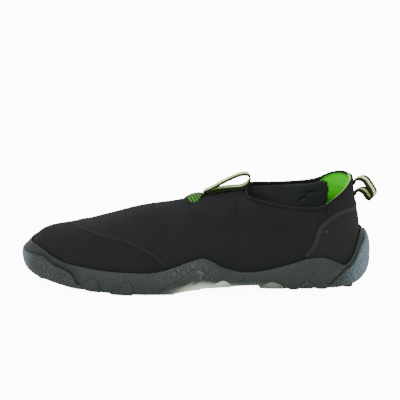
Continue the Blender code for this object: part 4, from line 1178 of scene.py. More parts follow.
def make_sole(sizes, colours):
    """The rubber cup with its rounded rand, bumpers, side pads and tread."""
    turns = fine_stations(SOLE_STATIONS)
    grid, _ = rib_spots(turns, np.array([0.0, 0.5]), np.array([0.0, 0.012]))
    around = np.roll(grid, -1, 0) - np.roll(grid, 1, 0)
    up = unit(grid[:, 3] - grid[:, 1])
    normal = unit(np.cross(around[:, 2], up))
    face = grid[:, 2] - up * sizes.lip_round
    rim = face + normal * (GAP + RAND_LIP)
    base = tread_height(turns) + LUG_HEIGHT
    wall, out = wall_grid(turns, rim, base)
    height = wall[..., 2]
    step = np.minimum(step_height(turns), rim[:, 2] - 4 * STEP_RISE)[:, None]
    proud = step_proud(turns)[:, None]
    raised = smooth((step - height) / (2 * STEP_RISE) + 0.5)
    groove = np.exp(-((height - step - STEP_RISE) / GROOVE_WIDTH) ** 2) * smooth(proud * 2)
    shift = proud * BUMPER_PROUD * raised - sizes.groove_depth * groove
    shift *= smooth((1 - WALL_SHARES) / 0.05)[None, :]
    wall = wall + out[:, None, :] * shift[..., None]
    lip = []
    for turn in np.linspace(0, np.pi, 9)[1:]:
        push = GAP + RAND_LIP * (0.5 + 0.5 * math.cos(turn))
        lip.append(face + normal * push + up * sizes.lip_round * math.sin(turn))
    inner = [grid[:, 1] + normal * GAP]
    foot = grid[:, 0] + normal * GAP
    foot[:, 2] = floor_height(turns)
    rings = np.concatenate([wall, np.stack(lip + inner + [foot], 1)], 1)
    count, rows = rings.shape[:2]
    number = np.arange(count * rows).reshape(count, rows)
    faces = ring_faces(number.T) + across_quads(number[:, 0].tolist(), upward=False)
    faces += across_quads(number[:, -1].tolist(), upward=True)
    points = rings.reshape(-1, 3)
    along = along_of(turns)
    on_bumper = smooth(proud * 1.5)
    # The groove mask darkens the rubber: painted shade in the groove above the bumpers, plus a darker band
    # over the toe bumper
    band = (1 - raised) * on_bumper * smooth((TOE_BAND_END - along) / 0.1)[:, None]
    values = rubber_marks(
        np.repeat(along, rows), points[:, 2], np.repeat(base, rows),
        on_wall(raised * on_bumper, rows), on_wall(np.maximum(groove, 0.65 * band), rows))
    bodies = [(points, faces, values)]
    bodies += [side_pad(pad, medial, turns, wall, out) for pad in PADS for medial in (False, True)]
    bodies += tread_lugs()
    finish = rubber_finish(colours)
    piece("sole_rubber", *joined_bodies(bodies), "sole_rubber", "outsole", finish, sharp=42)


def on_wall(values, rows):
    """Values of the wall's rows, followed by nought for the rows past the wall's top edge."""
    wide = np.zeros((len(values), rows))
    wide[:, :len(WALL_SHARES)] = values
    return wide.ravel()


def rubber_marks(along, level, base, bumper, groove):
    """Marks on the rubber cup: painted glow of the arch, painted sheen on the bumpers, painted shade in the
    grooves and bright specks, partly painted glints.
    """
    # Painted glow under the arch, low on the wall, brightest near ARCH_BRIGHTEST
    arch = smooth((along - ARCH_START) / 0.11) ** 3 * smooth((ARCH_END - along) / 0.12) ** 2
    arch *= 0.12 + 0.88 * smooth((ARCH_DIM - along) / 0.12) ** 2
    tall = ARCH_HEIGHT + ARCH_SWELL * np.exp(-((along - ARCH_BRIGHTEST) / 0.05) ** 2)
    low = smooth((tall - (level - base)) / tall)
    # Painted sheen at the heel and toe ends of the bumpers; the specks, partly painted glints, grow stronger
    # there too
    heel, tip = smooth((along - HEEL_SHEEN) / 0.085), smooth((TOE_SHEEN - along) / 0.045)
    crest = np.exp(-((along - WAVE_CREST) / 0.065) ** 2) * smooth((level - 0.010) / 0.008)
    return {
        "pale": np.clip(arch * low * 0.85, 0, 1),
        "blue": np.clip(bumper * (heel + 0.8 * tip), 0, 1),
        "groove": groove,
        "worn": np.zeros(len(along)),
        "speck": np.clip(0.03 + bumper * (0.05 + 0.30 * heel + 0.22 * tip) + 0.13 * crest, 0, 1),
    }


def joined_bodies(bodies):
    """Points, faces and named values of several bodies as one mesh."""
    points, faces, shift = [], [], 0
    for body_points, body_faces, _ in bodies:
        points.append(body_points)
        faces += [[i + shift for i in face] for face in body_faces]
        shift += len(body_points)
    values = {label: np.concatenate([body[2][label] for body in bodies]) for label in bodies[0][2]}
    return np.concatenate(points), faces, values


def pad_section(low, high, half, rise, grounded):
    """Section of a pad from its lower to its upper edge, as height, reach out of the wall and rub."""
    root = PAD_FOOT if grounded else PAD_SINK
    round_off = min(PAD_PROUD * 0.8, half * 0.6)
    section = [(low, -root, 0.0), (low, 0.0 if grounded else -PAD_SINK * 0.5, 0.0)]
    section += [(low + round_off * (1 - math.cos(a)), rise * (0.3 + 0.7 * math.sin(a)), 0.1)
                for a in (0.3, 0.8, 1.2)]
    section += [(low + (high - low) * s, rise, 0.0) for s in (0.35, 0.5, 0.65)]
    section += [(high - round_off * (1 - math.cos(a)), rise * math.sin(a), 0.8) for a in (1.2, 0.8, 0.3)]
    return section + [(high, -PAD_SINK * 0.5, 0.0), (high, -root, 0.0)]


def side_pad(rows, medial, turns, wall, out):
    """A raised pad on the sole's wall. One that meets the ground has a foot under the sole."""
    key = np.arange(len(rows), dtype=float)
    at = np.linspace(0, len(rows) - 1, PAD_STATIONS)
    alongs = np.interp(at, key, [row.along for row in rows])
    lows, highs = (
        hermite(lengthened(key), lengthened(np.array([getattr(row, end) for row in rows])), False, at)
        * HEEL_HEIGHT for end in ("low", "high"))
    share = 2 * at / (len(rows) - 1) - 1
    close = np.sqrt(np.clip(1 - share ** 10, 0.02, 1))
    middle, half = (lows + highs) / 2, np.maximum(highs - lows, PAD_LEAST) / 2 * close
    grid, worn, glow = [], [], []
    behind = smooth((alongs - PAD_HIGHLIGHT_START) / 0.1)
    for i, along in enumerate(alongs):
        turn = turn_of(along)
        turn = float(2 * np.pi - turn if medial else turn)
        low, high = middle[i] - half[i], middle[i] + half[i]
        ground = float(tread_height(turn)) + LUG_HEIGHT
        section = pad_section(low, high, half[i], PAD_PROUD * close[i], low < ground)
        k = int(np.searchsorted(turns, turn, side="right") - 1)
        after = (k + 1) % len(turns)
        end = turns[after] if after else 2 * np.pi
        part = (turn - turns[k]) / (end - turns[k])
        ring_points = []
        for height, deep, _ in section:
            spot = [np.interp(height, wall[s, :, 2], wall[s, :, a]) for s in (k, after) for a in (0, 1)]
            x, y = spot[0] * (1 - part) + spot[2] * part, spot[1] * (1 - part) + spot[3] * part
            facing = out[k] * (1 - part) + out[after] * part
            ring_points.append([x + facing[0] * deep, y + facing[1] * deep, height])
        grid.append(ring_points)
        # Painted highlight along the upper rounded edge of each pad's rear end
        tip = (smooth((share[i] - 0.45) / 0.4) + 0.12) * (0.03 + 0.5 * behind[i])
        worn += [strength * tip for _, _, strength in section]
        near = math.exp(-((along - PAD_GLOW) / 0.045) ** 2)
        glow += [smooth((PAD_GLOW_TOP - height + ground) / 0.006) * near for height, _, _ in section]
    points, faces = run_of_rings(np.array(grid))
    # Painted glow of the pads that the light shines through
    pale = sum(spot.strength * np.exp(-((alongs - spot.along) / spot.reach) ** 2) for spot in PAD_GLOWS)
    values = {
        "pale": np.clip(np.repeat(pale, len(section)) + np.array(glow), 0, 1),
        "blue": np.zeros(len(points)),
        # Painted shadow where the pad's upper edge meets the wall
        "groove": np.tile(np.where(np.arange(len(section)) > len(section) - 4, 0.7, 0.0), len(alongs)),
        "worn": np.clip(np.array(worn), 0, 1),
        "speck": np.repeat(0.03 + 0.08 * behind, len(section)),
    }
    return points, faces, values


def run_of_rings(grid):
    """A closed body through a run of closed sections, capped at both ends."""
    runs, corners = grid.shape[:2]
    number = np.arange(runs * corners).reshape(runs, corners)
    faces = ring_faces(number) + [number[0][::-1].tolist(), number[-1].tolist()]
    points = grid.reshape(-1, 3)
    return points, faces_outward(points, faces)


def faces_outward(points, faces):
    """The faces turned so that a closed body's outside is outside."""
    total = 0.0
    for face in faces:
        for b, c in zip(face[1:], face[2:]):
            total += points[face[0]] @ np.cross(points[b], points[c])
    return [face[::-1] for face in faces] if total < 0 else faces


def tread_lugs():
    """Leaf-shaped lugs in rows of three, rounded at their edges."""
    bodies = []
    for row in TREAD:
        turn = turn_of(row.along)
        lateral, medial = (float(reach_across(a)) for a in (turn, 2 * np.pi - turn))
        middle = 0.0 if row.along == REST_ALONG else (lateral + medial) / 2
        half = (medial - lateral) / 2
        for side in (-1, 0, 1):
            centre = np.array([x_of(row.along), middle + side * row.spread * half])
            size = 1.0 if side == 0 else SIDE_LUG_SIZE
            outline = lug_outline(centre, row.length * LENGTH * size, row.width * BALL_WIDTH * size,
                                  -side * SIDE_LUG_TURN)
            for _ in range(2):
                after = np.roll(outline, -1, axis=0)
                pairs = np.stack([outline * 0.8 + after * 0.2, outline * 0.2 + after * 0.8], 1)
                outline = pairs.reshape(-1, 2)
            rings = []
            root = LUG_HEIGHT + LUG_SINK
            for taper, lift in ((1.0, root), (0.96, LUG_HEIGHT * 0.5), (0.92, 0.0004), (0.89, 0.0)):
                flat = centre + (outline - centre) * taper
                rings.append([[*p, ground_at(p) + lift] for p in flat])
            points, faces = run_of_rings(np.array(rings))
            worn = np.repeat([0.0, 0.1, 0.55, 0.3], len(outline))
            zeros = np.zeros(len(points))
            values = {"pale": zeros, "blue": zeros, "groove": zeros, "worn": worn, "speck": zeros + 0.1}
            bodies.append((points, faces, values))
    return bodies


def rounded_section(half_width, half_height, corners, power=3.2):
    """Points round a soft-cornered section, as pairs of across and up."""
    angles = np.arange(corners) * 2 * np.pi / corners
    cos, sin = np.cos(angles), np.sin(angles)
    reach = (np.abs(cos) ** power + np.abs(sin) ** power) ** (-1 / power)
    return np.stack([half_width * reach * cos, half_height * reach * sin], 1)


def ridge_path(rows, steps, over_ridge):
    """Evenly spread places of a path from the outer to the inner side, with outward directions."""
    turns, shares = half_path(rows, 4 * steps, over_ridge)
    turns = np.concatenate([turns, 2 * np.pi - turns[-2::-1]])
    shares = np.concatenate([shares, shares[-2::-1]])
    points = skin_points(turns, shares)
    run = run_lengths(points)
    even = np.linspace(0, run[-1], steps)
    points = np.stack([np.interp(even, run, points[:, axis]) for axis in range(3)], 1)
    normals = skin_directions(turns, shares)
    middle = len(turns) // 2
    normals[middle] = normals[middle - 1] + normals[middle + 1]
    normals = unit(np.stack([np.interp(even, run, normals[:, axis]) for axis in range(3)], 1))
    return points, normals, even


def tape_finish(name, colour, density, lines=()):
    """Tape with darker edges, and lines of other colours where the mesh asks for them."""
    made, nodes, shader = finish_for(name, 0.7, 0.15, sheen=0.02)
    mottle = nodes.group("Mottle", Place=object_place(nodes), Density=80.0)
    knit = nodes.group("Knit", Place=nodes.place(), Density=density)
    edge = nodes.sum("ABSOLUTE", nodes.value("across"))
    tone = nodes.toned(mottle["Shade"], colour, 0.84, 1.15)
    tone = nodes.blend(nodes.spread(edge, 0.72, 1.0), tone, scaled(colour, 0.60))
    for label, shade in lines:
        tone = nodes.blend(nodes.value(label), tone, shade[:])
    rough = nodes.spread(mottle["Shade"], 0.0, 1.0, 0.62, 0.80)
    dress(nodes, shader, tone, rough, knit["Height"], 0.00010, 0.5)
    return made


def make_tape(name, rows, width, steps, over_ridge, finish):
    """A low rounded tape laid over a seam."""
    points, normals, run = ridge_path(rows, steps, over_ridge)
    forward = unit(np.gradient(points, axis=0))
    side = unit(np.cross(normals, forward))
    section = rounded_section(width / 2, TAPE_THICKNESS / 2, 16, 2.6)
    grid = points[:, None] + side[:, None] * section[None, :, :1]
    grid = grid + normals[:, None] * section[None, :, 1:]
    body, faces = run_of_rings(grid)
    across = np.tile(section[:, 0] / (width / 2), steps)
    flat = np.stack([np.repeat(run, len(section)), np.tile(section[:, 0], steps), np.zeros(len(body))], 1)
    values = {"across": across, "flat_place": flat}
    piece(name, body, faces, values, "seam_tape", name, finish, sharp=60)


def make_seams(sizes, colours):
    toe = tape_finish("toe_seam_film", scaled(colours.tape, 0.66), 1500.0)
    heel = tape_finish("counter_seam_film", colours.tape[:], 1500.0)
    make_tape("toe_seam_tape", TOE_SEAM, TOE_TAPE_WIDTH * 0.85, 220, True, toe)
    make_tape("counter_seam_tape", COUNTER_SEAM, COUNTER_TAPE_WIDTH, 200, False, heel)


def collar_course():
    """Middle of the upper's edge round the collar, with outward and upward directions."""
    turns, outer, _, number, faces = skin_mesh(SKIN_SHARES[-12:], np.array([0.8]))
    normals = point_normals(outer, faces)
    loop = collar_numbers(turns, number)
    normal = normals[loop]
    for _ in range(6):
        normal = unit(np.roll(normal, 1, 0) + 2 * normal + np.roll(normal, -1, 0))
    middle = outer[loop] - normal * WALL / 2
    run = unit(np.roll(middle, -1, axis=0) - np.roll(middle, 1, axis=0))
    edge = unit(np.cross(normal, run))
    return middle, np.cross(run, edge), edge, run


def make_collar(sizes, colours):
    """The folded edging round the collar, and its row of stitches."""
    middle, side, edge, run = collar_course()
    count = len(middle)
    half = (BINDING_HEIGHT + sizes.binding_wrap) / 2
    section = rounded_section(BINDING_WIDTH / 2, half, 28, 2.8)
    lift = 1.2 * GAP + BINDING_HEIGHT - half
    length = run_lengths(middle)
    pitch = sizes.stitch_length + sizes.stitch_gap
    pulled = 1 - STITCH_PULL * (0.5 + 0.5 * np.cos(length / pitch * 2 * np.pi))
    low = np.where(section[:, 1] < 0, 0.94, 1.0)
    width = section[None, :, :1] * low[None, :, None] * pulled[:, None, None]
    grid = middle[:, None] + side[:, None] * width
    grid = grid + edge[:, None] * (section[None, :, 1:] + lift)
    corners = len(section)
    number = np.arange(count * corners).reshape(count, corners)
    faces = ring_faces(np.concatenate([number.T, number.T[:1]]))
    points = grid.reshape(-1, 3)
    over = np.tile(section[:, 0] + section[:, 1], count)
    flat = np.stack([np.repeat(length, corners), over, np.zeros(len(points))], 1)
    across = np.tile(section[:, 0] / (BINDING_WIDTH / 2), count) * 0.7
    share = along_of_x(middle[:, 0])
    outer = middle[:, 1] < 0
    # Painted highlight: a pale line of lining colour along the binding's inner edge, where the lining's edge
    # catches the light
    starts = [smooth((share - start) / fade) for start, fade in zip(INNER_HIGHLIGHT_START, (0.012, 0.008))]
    span = np.where(outer, *starts)
    inward = smooth((-0.15 - section[:, 0] / (BINDING_WIDTH / 2)) / 0.2)
    inner_edge_highlight = (span[:, None] * (inward * (section[:, 1] > half * 0.3))[None, :]).ravel()
    far = np.where(outer, 0.0, smooth((share - LINED_START) / 0.012) * smooth((LINED_END - share) / 0.02))
    lined = (far[:, None] * (inward * (section[:, 1] < half * 0.1))[None, :]).ravel()
    values = {"across": across, "flat_place": flat, "inner_edge_highlight": inner_edge_highlight, "lined": lined}
    finish = tape_finish("folded_binding", colours.binding[:], 1300.0,
                         (("inner_edge_highlight", colours.lining_edge_highlight), ("lined", colours.lining)))
    piece("collar_binding", points, faces_outward(points, faces), values,
          "binding_cloth", "collar_binding", finish, sharp=70)
    bodies = []
    for face in (1, -1):
        for spot in np.arange(0, length[-1], pitch):
            at, facing, upward, ahead = (
                np.array([np.interp(spot, length, column[:, a]) for a in range(3)])
                for column in (middle, side, edge, run))
            place = at + facing * face * (BINDING_WIDTH / 2 * STITCH_REACH) + upward * (lift - half * 0.3)
            bodies.append(stitch(place, unit(ahead), unit(facing) * face, sizes))
    finish = thread_finish(colours)
    piece("collar_stitches", *joined_bodies(bodies), "binding_cloth", None, finish, sharp=80)


def stitch(middle, ahead, outward, sizes):
    """One stitch: a short thread that dips into the cloth at both ends."""
    side = np.cross(ahead, outward)
    rings = []
    for at in np.linspace(-1, 1, 7):
        radius = sizes.thread / 2 * math.sqrt(max(0.12, 1 - at ** 4))
        centre = middle + ahead * at * sizes.stitch_length / 2 - outward * sizes.thread * 0.7 * at * at
        rings.append([centre + (outward * math.cos(a) + side * math.sin(a)) * radius
                      for a in np.arange(6) * np.pi / 3])
    return *run_of_rings(np.array(rings)), {}


def thread_finish(colours):
    """Matt sewing thread."""
    made, nodes, shader = finish_for("sewing_thread", 0.8, 0.1)
    mottle = nodes.group("Mottle", Place=object_place(nodes), Density=900.0)
    tone = nodes.toned(mottle["Shade"], colours.thread, 0.7, 1.4)
    dress(nodes, shader, tone, 0.8, mottle["Shade"], 0.00005, 0.5)
    return made


def ribbon_finish(colours):
    """Woven ribbon with dark edges and a pale stripe."""
    made, nodes, shader = finish_for("woven_ribbon", 0.72, 0.10)
    place = nodes.place()
    weave = nodes.group("Weave", Place=place)
    mottle = nodes.group("Mottle", Place=place, Density=140.0)
    edge = nodes.sum("ABSOLUTE", nodes.value("across"))
    stripe = nodes.toned(mottle["Shade"], colours.ribbon, 0.78, 1.15)
    line = nodes.spread(nodes.sum("ABSOLUTE", nodes.sum("SUBTRACT", edge, 0.5)), 0.0, 0.12, 0.12, 0.0)
    stripe = nodes.blend(line, stripe, scaled(colours.ribbon, 0.40))
    tone = nodes.blend(nodes.spread(edge, 1.0, 1.22), stripe, colours.ribbon_edge[:])
    rough = nodes.spread(mottle["Shade"], 0.0, 1.0, 0.66, 0.82)
    dress(nodes, shader, tone, rough, weave["Height"], 0.00008, 0.6)
    return made


def make_loop(name, rows, centre_across, turn, cup, stripe, sizes, finish):
    """A pull loop of flat ribbon, twisted away from its sewn ends by the turn, its lower strand cupped."""
    steps, root_length = sizes.ribbon_steps, sizes.ribbon_root
    path = bend_path(rows, steps)
    out = unit(np.array([path[0] - path[1], path[-1] - path[-2]]))
    ends = [path[-1] + out[1] * root_length]
    if not turn:
        ends = [path[-1] + out[1] * FOLD_AHEAD * math.sin(a) - (0, FOLD_DOWN * (1 - math.cos(a)))
                for a in (0.5, 1.0, 1.5)]
    path = np.concatenate([[path[0] + out[0] * root_length], path, ends])
    steps = len(path)
    run = unit(np.gradient(path, axis=0))
    over = np.stack([-run[:, 1], run[:, 0]], 1)
    half = RIBBON_WIDTH / 2
    section = rounded_section(half, RIBBON_THICKNESS / 2, 28, 6.0)
    share = np.linspace(0, 1, steps)
    twist = turn * np.minimum(1.0, 2.2 * np.sin(np.pi * share))
    level = path[:, None, :] + over[:, None, :] * section[None, :, 1:]
    x = level[..., 0] + np.sin(twist)[:, None] * section[None, :, 0]
    y = centre_across + np.cos(twist)[:, None] * section[None, :, 0]
    z = level[..., 1] + np.sin(twist)[:, None] * section[None, :, 0] * HEEL_LOOP_TILT
    fold = np.clip(-section[:, 0] / half, 0, 1) ** 1.5
    z = z - cup * smooth((LOWER_STRAND - share) / 0.08)[:, None] * fold[None, :]
    body, faces = run_of_rings(np.stack([x, y, z], -1))
    length = run_lengths(path)
    across = (np.tile(section[:, 0] / half, steps) - stripe.middle) / stripe.half
    near_root = 1 - smooth(np.minimum(share, 1 - share) / 0.2)
    across = across - 2.6 * abs(math.sin(turn)) * np.repeat(near_root, len(section))
    flat = np.stack([np.repeat(length, len(section)), np.tile(section[:, 0], steps), across * 0], 1)
    values = {"across": across, "flat_place": flat}
    piece(name, body, faces, values, "ribbon", name, finish, sharp=60)


def make_loops(sizes, colours):
    finish = ribbon_finish(colours)
    make_loop("instep_pull_loop", INSTEP_LOOP, INSTEP_LOOP_ACROSS, 0.0, INSTEP_CUP,
              INSTEP_STRIPE, sizes, finish)
    make_loop("heel_pull_loop", HEEL_LOOP, 0.0, HEEL_LOOP_TURN, 0.0, HEEL_STRIPE, sizes, finish)


def make_anchor(sizes, colours):
    """The low padded patch in front of the instep loop, with a rolled edge and a bright middle."""
    centre_x = x_of(ANCHOR_REAR) - ANCHOR_LENGTH / 2
    centre_y = float(top_across(turn_of(along_of_x(centre_x)))) - ANCHOR_OFFSET
    rings, around = ANCHOR_RINGS, ANCHOR_CORNERS
    points, radial = [], []
    base = ridge_heights(centre_x, centre_y)
    for i in range(rings + 1):
        share = 1 - i / rings
        for j in range(around if i < rings else 1):
            angle = 2 * np.pi * j / around
            x = centre_x + share * ANCHOR_LENGTH / 2 * math.cos(angle)
            y = centre_y + share * ANCHOR_WIDTH / 2 * math.sin(angle)
            rolled = ANCHOR_EDGE * math.sqrt(max(0.0, 1 - max(0.0, (share - EDGE_START) / 0.07) ** 2))
            dome = (ANCHOR_RISE - ANCHOR_EDGE) * math.sqrt(1 - share * share)
            welt = WELT_DEPTH * math.exp(-((share - WELT_PLACE) / 0.05) ** 2)
            lift = GAP * (1 - share ** 6) + rolled * (1 - 0.6 * share ** 8) + dome - welt
            points.append([x, y, base(x, y) + lift])
            off_x, off_y = x - centre_x - PATCH_SHIFT[0], y - centre_y - PATCH_SHIFT[1]
            radial.append(math.hypot(off_x / ANCHOR_LENGTH, off_y / ANCHOR_WIDTH) * 2)
    bottom = [[p[0], p[1], base(p[0], p[1]) - 0.4 * GAP] for p in points[:around]]
    shift = len(points)
    number = np.arange(rings * around).reshape(rings, around)
    faces = ring_faces(number)
    faces += [[int(number[-1][j]), int(number[-1][(j + 1) % around]), rings * around] for j in range(around)]
    low = np.arange(around) + shift
    faces += closed_quads(low, number[0])
    faces += [low[::-1].tolist()]
    everything = np.array(points + bottom)
    radial = np.array(radial + [1.0] * around)
    piece("instep_anchor", everything, faces_outward(everything, faces), {"radial": radial},
          "binding_cloth", "instep_anchor", patch_finish(colours), sharp=70)


def ridge_heights(centre_x, centre_y):
    """Height of the upper's outer face near the ridge, as a function of a level point."""
    alongs = np.linspace(0.44, 0.60, 60)
    shares = np.linspace(0.55, 1.0, 40)
    spots = []
    for turns in (turn_of(alongs), 2 * np.pi - turn_of(alongs)):
        grid, _ = rib_spots(turns, np.array([]), shares)
        spots.append(grid.reshape(-1, 3))
    spots = np.concatenate(spots)

    def height(x, y):
        gap = np.hypot(spots[:, 0] - x, spots[:, 1] - y)
        near = np.argsort(gap)[:6]
        weight = 1 / (gap[near] + 1e-5) ** 2
        return float((spots[near, 2] * weight).sum() / weight.sum())

    return height


def patch_finish(colours):
    """Dark cloth round a bright middle that is crossed by dark slanting lines."""
    made, nodes, shader = finish_for("padded_patch", 0.62, 0.25)
    place = object_place(nodes)
    part = nodes.add("SeparateXYZ", Vector=place)
    slant = nodes.sum("ADD", part.outputs["X"], nodes.sum("MULTIPLY", part.outputs["Y"], 0.35))
    bands = nodes.sum("SINE", nodes.sum("MULTIPLY", slant, 2500.0))
    lines = nodes.spread(bands, 0.0, 0.45)
    mottle = nodes.group("Mottle", Place=place, Density=220.0)
    knit = nodes.group("Knit", Place=place, Density=1300.0)
    bright = nodes.toned(mottle["Shade"], colours.patch, 0.60, 1.15)
    bright = nodes.blend(lines, bright, scaled(colours.patch, 0.10))
    tone = nodes.blend(nodes.spread(nodes.value("radial"), 0.62, 0.68), bright, colours.binding[:])
    rough = nodes.spread(mottle["Shade"], 0.0, 1.0, 0.55, 0.72)
    dress(nodes, shader, tone, rough, knit["Height"], 0.00010, 0.5)
    return made


def make_footbed(sizes, colours):
    """The thin dished footbed inside the upper."""
    turns = fine_stations(240)
    grid, _ = rib_spots(turns, np.array([0.0, 0.3]), np.array([0.0]))
    around = np.roll(grid[:, 0], -1, 0) - np.roll(grid[:, 0], 1, 0)
    normal = unit(np.cross(around, unit(grid[:, 2] - grid[:, 0])))
    level = grid[:, 0, :2] - normal[:, :2] * (WALL + 2 * GAP)
    floor = floor_height(turns) + GAP
    twin = (len(turns) - np.arange(len(turns))) % len(turns)
    middle = (level + level[twin]) / 2
    middle[:, 0] = np.clip(middle[:, 0], x_of(0.10), x_of(0.90))
    rings = [np.concatenate([level, floor[:, None]], 1)]
    for share in np.concatenate([[0.0, 0.02], np.linspace(0.06, 1.0, 22)]):
        at = level + (middle - level) * share
        base = floor_height(turn_of(along_of_x(at[:, 0]))) + GAP
        dish = INSOLE_DISH * smooth(share / 0.45)
        rise = INSOLE_THICKNESS - dish - 0.0005 * (1 - smooth(share / 0.03))
        rings.append(np.concatenate([at, (base + rise)[:, None]], 1))
    stack = np.stack(rings)
    number = np.arange(stack.shape[0] * stack.shape[1]).reshape(stack.shape[:2])
    faces = ring_faces(number) + across_quads(number[-1].tolist(), upward=True)
    faces += across_quads(number[0].tolist(), upward=False)
    points = stack.reshape(-1, 3)
    finish, nodes, shader = finish_for("footbed_cloth", 0.9, sheen=0.02)
    place = object_place(nodes)
    mottle = nodes.group("Mottle", Place=place, Density=45.0)
    knit = nodes.group("Knit", Place=place, Density=1000.0)
    tone = nodes.toned(mottle["Shade"], colours.inside, 1.1, 1.9)
    rough = nodes.spread(mottle["Shade"], 0.0, 1.0, 0.84, 0.95)
    dress(nodes, shader, tone, rough, knit["Height"], 0.00014, 0.6)
    piece("footbed", points, faces_outward(points, faces), {}, "footbed_foam", "insole", finish, sharp=60)


# Photograph's frame: 400 by 400 pixels, the sole's length and place in it, and the view's height angle
VIEW_HEIGHT = math.radians(17)
VIEW_DISTANCE = 1.4
VIEW_PIXELS = 400
PIXELS_PER_METRE = 1211.1
VIEW_CENTRE = (-0.1026, 0.0, 0.04)
CENTRE_PIXEL = (195.5, 231.8)
# Width of the camera's sensor in millimetres
SENSOR = 36.0
# Half side of the floor, and how far it lies below the tread
FLOOR_REACH = 6.0
FLOOR_DROP = 0.0004
PAPER_TONES = ((0.86, 0.87, 0.865), (0.90, 0.905, 0.90))
# Studio lights: name, place, side length and power
LAMPS = (
    ("key_light", (-0.5, -1.1, 1.5), 1.2, 16.0),
    ("heel_light", (1.2, 0.5, 0.7), 0.7, 4.0),
    ("toe_light", (-1.4, 0.3, 0.5), 0.7, 2.0),
)
# Extra light of the floor and of the air around it, for the camera only
BACKDROP = 11.0


def make_stage():
    """Pale floor, soft studio light and the camera."""
    mesh = bpy.data.meshes.new("studio_floor")
    corners = [(x * FLOOR_REACH, y * FLOOR_REACH, 0) for x, y in ((-1, -1), (1, -1), (1, 1), (-1, 1))]
    mesh.from_pydata(corners, [], [(0, 1, 2, 3)])
    floor = placed("studio_floor", mesh)
    floor.location.z = -FLOOR_DROP
    finish, nodes, shader = finish_for("studio_paper", 0.85)
    grain = nodes.group("Mottle", Place=object_place(nodes), Density=3.0)
    nodes.feed(shader.inputs["Base Color"], nodes.blend(grain["Shade"], *PAPER_TONES))
    ray = nodes.add("LightPath").outputs["Is Camera Ray"]
    shine = nodes.add("Emission", Color=(1, 1, 1, 1), Strength=nodes.sum("MULTIPLY", ray, BACKDROP))
    both = nodes.add("AddShader")
    nodes.feed(both.inputs[0], shader.outputs[0])
    nodes.feed(both.inputs[1], shine.outputs[0])
    nodes.feed(finish.node_tree.nodes["Material Output"].inputs["Surface"], both.outputs[0])
    mesh.materials.append(finish)
    world = bpy.data.worlds.new("studio_air")
    world.use_nodes = True
    light = world.node_tree.nodes["Background"].inputs
    light["Color"].default_value = (1, 1, 1, 1)
    air = Nodes(world.node_tree)
    ray = air.add("LightPath").outputs["Is Camera Ray"]
    air.feed(light["Strength"], air.sum("ADD", air.sum("MULTIPLY", ray, BACKDROP), 1.0))
    bpy.context.scene.world = world
    for name, place, size, power in LAMPS:
        lamp(name, place, size, power)
    forward = np.array([0, math.cos(VIEW_HEIGHT), -math.sin(VIEW_HEIGHT)])
    camera = bpy.data.cameras.new("photo_camera")
    camera.sensor_width = SENSOR
    camera.lens = SENSOR * VIEW_DISTANCE * PIXELS_PER_METRE / VIEW_PIXELS
    camera.shift_x = 0.5 - CENTRE_PIXEL[0] / VIEW_PIXELS
    camera.shift_y = CENTRE_PIXEL[1] / VIEW_PIXELS - 0.5
    holder = placed("photo_camera", camera)
    holder.location = np.array(VIEW_CENTRE) - forward * VIEW_DISTANCE
    holder.rotation_euler = (math.pi / 2 - VIEW_HEIGHT, 0, 0)
    bpy.context.scene.camera = holder


def lamp(name, place, size, power):
    """A square soft light aimed at the middle of the shoe."""
    light = bpy.data.lights.new(name, "AREA")
    light.size = size
    light.energy = power
    made = placed(name, light)
    made.location = place
    aim = np.array(VIEW_CENTRE) - np.array(place)
    flat = math.hypot(aim[0], aim[1])
    made.rotation_euler = (math.atan2(flat, -aim[2]), 0, math.atan2(aim[1], aim[0]) - math.pi / 2)


class SHOE_OT_stage(bpy.types.Operator):
    """Sets the floor, the lights and the camera"""

    bl_idname = "water_shoe.stage"
    bl_label = "Stage"

    def execute(self, context):
        make_stage()
        return {"FINISHED"}


class PieceOperator:
    """What the operators of the shoe's pieces share"""

    def execute(self, context):
        type(self).build(context.scene.water_shoe_sizes, context.scene.water_shoe_colours)
        return {"FINISHED"}


class SHOE_OT_sole(PieceOperator, bpy.types.Operator):
    """Builds the rubber sole with its rand, bumpers, pads and tread"""

    bl_idname = "water_shoe.sole"
    bl_label = "Sole"
    build = make_sole


class SHOE_OT_upper(PieceOperator, bpy.types.Operator):
    """Builds the hollow stretch upper with its linings"""

    bl_idname = "water_shoe.upper"
    bl_label = "Upper"
    build = make_upper


class SHOE_OT_seams(PieceOperator, bpy.types.Operator):
    """Builds the raised tapes over the toe and heel seams"""

    bl_idname = "water_shoe.seams"
    bl_label = "Seam tapes"
    build = make_seams


class SHOE_OT_collar(PieceOperator, bpy.types.Operator):
    """Builds the collar's folded edging and its stitches"""

    bl_idname = "water_shoe.collar"
    bl_label = "Collar binding"
    build = make_collar


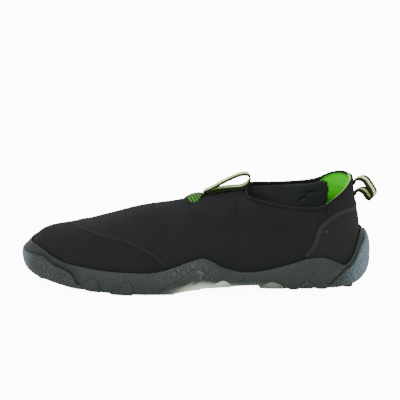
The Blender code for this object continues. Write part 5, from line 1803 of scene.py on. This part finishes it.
class SHOE_OT_loops(PieceOperator, bpy.types.Operator):
    """Builds the two ribbon pull loops"""

    bl_idname = "water_shoe.loops"
    bl_label = "Pull loops"
    build = make_loops


class SHOE_OT_anchor(PieceOperator, bpy.types.Operator):
    """Builds the padded patch in front of the instep loop"""

    bl_idname = "water_shoe.anchor"
    bl_label = "Padded patch"
    build = make_anchor


class SHOE_OT_footbed(PieceOperator, bpy.types.Operator):
    """Builds the footbed inside the upper"""

    bl_idname = "water_shoe.footbed"
    bl_label = "Footbed"
    build = make_footbed


class SHOE_PT_panel(bpy.types.Panel):
    """Lists the shoe's pieces, sizes and colours"""

    bl_idname = "SHOE_PT_panel"
    bl_label = "Water shoe"
    bl_space_type = "VIEW_3D"
    bl_region_type = "UI"
    bl_category = "Water shoe"

    def draw(self, context):
        for operator in OPERATORS:
            self.layout.operator(operator.bl_idname)
        for group in (context.scene.water_shoe_sizes, context.scene.water_shoe_colours):
            column = self.layout.column()
            for name in group.__annotations__:
                column.prop(group, name)


OPERATORS = (SHOE_OT_stage, SHOE_OT_sole, SHOE_OT_upper, SHOE_OT_seams, SHOE_OT_collar, SHOE_OT_loops,
             SHOE_OT_anchor, SHOE_OT_footbed)
CLASSES = (ShoeSizes, ShoeColours, *OPERATORS, SHOE_PT_panel)


def register():
    for cls in CLASSES:
        bpy.utils.register_class(cls)
    bpy.types.Scene.water_shoe_sizes = PointerProperty(type=ShoeSizes)
    bpy.types.Scene.water_shoe_colours = PointerProperty(type=ShoeColours)


def unregister():
    del bpy.types.Scene.water_shoe_colours
    del bpy.types.Scene.water_shoe_sizes
    for cls in reversed(CLASSES):
        bpy.utils.unregister_class(cls)


def main():
    register()
    bpy.ops.water_shoe.stage()
    bpy.ops.water_shoe.sole()
    bpy.ops.water_shoe.upper()
    bpy.ops.water_shoe.seams()
    bpy.ops.water_shoe.collar()
    bpy.ops.water_shoe.loops()
    bpy.ops.water_shoe.anchor()
    bpy.ops.water_shoe.footbed()


if __name__ == "__main__":
    main()
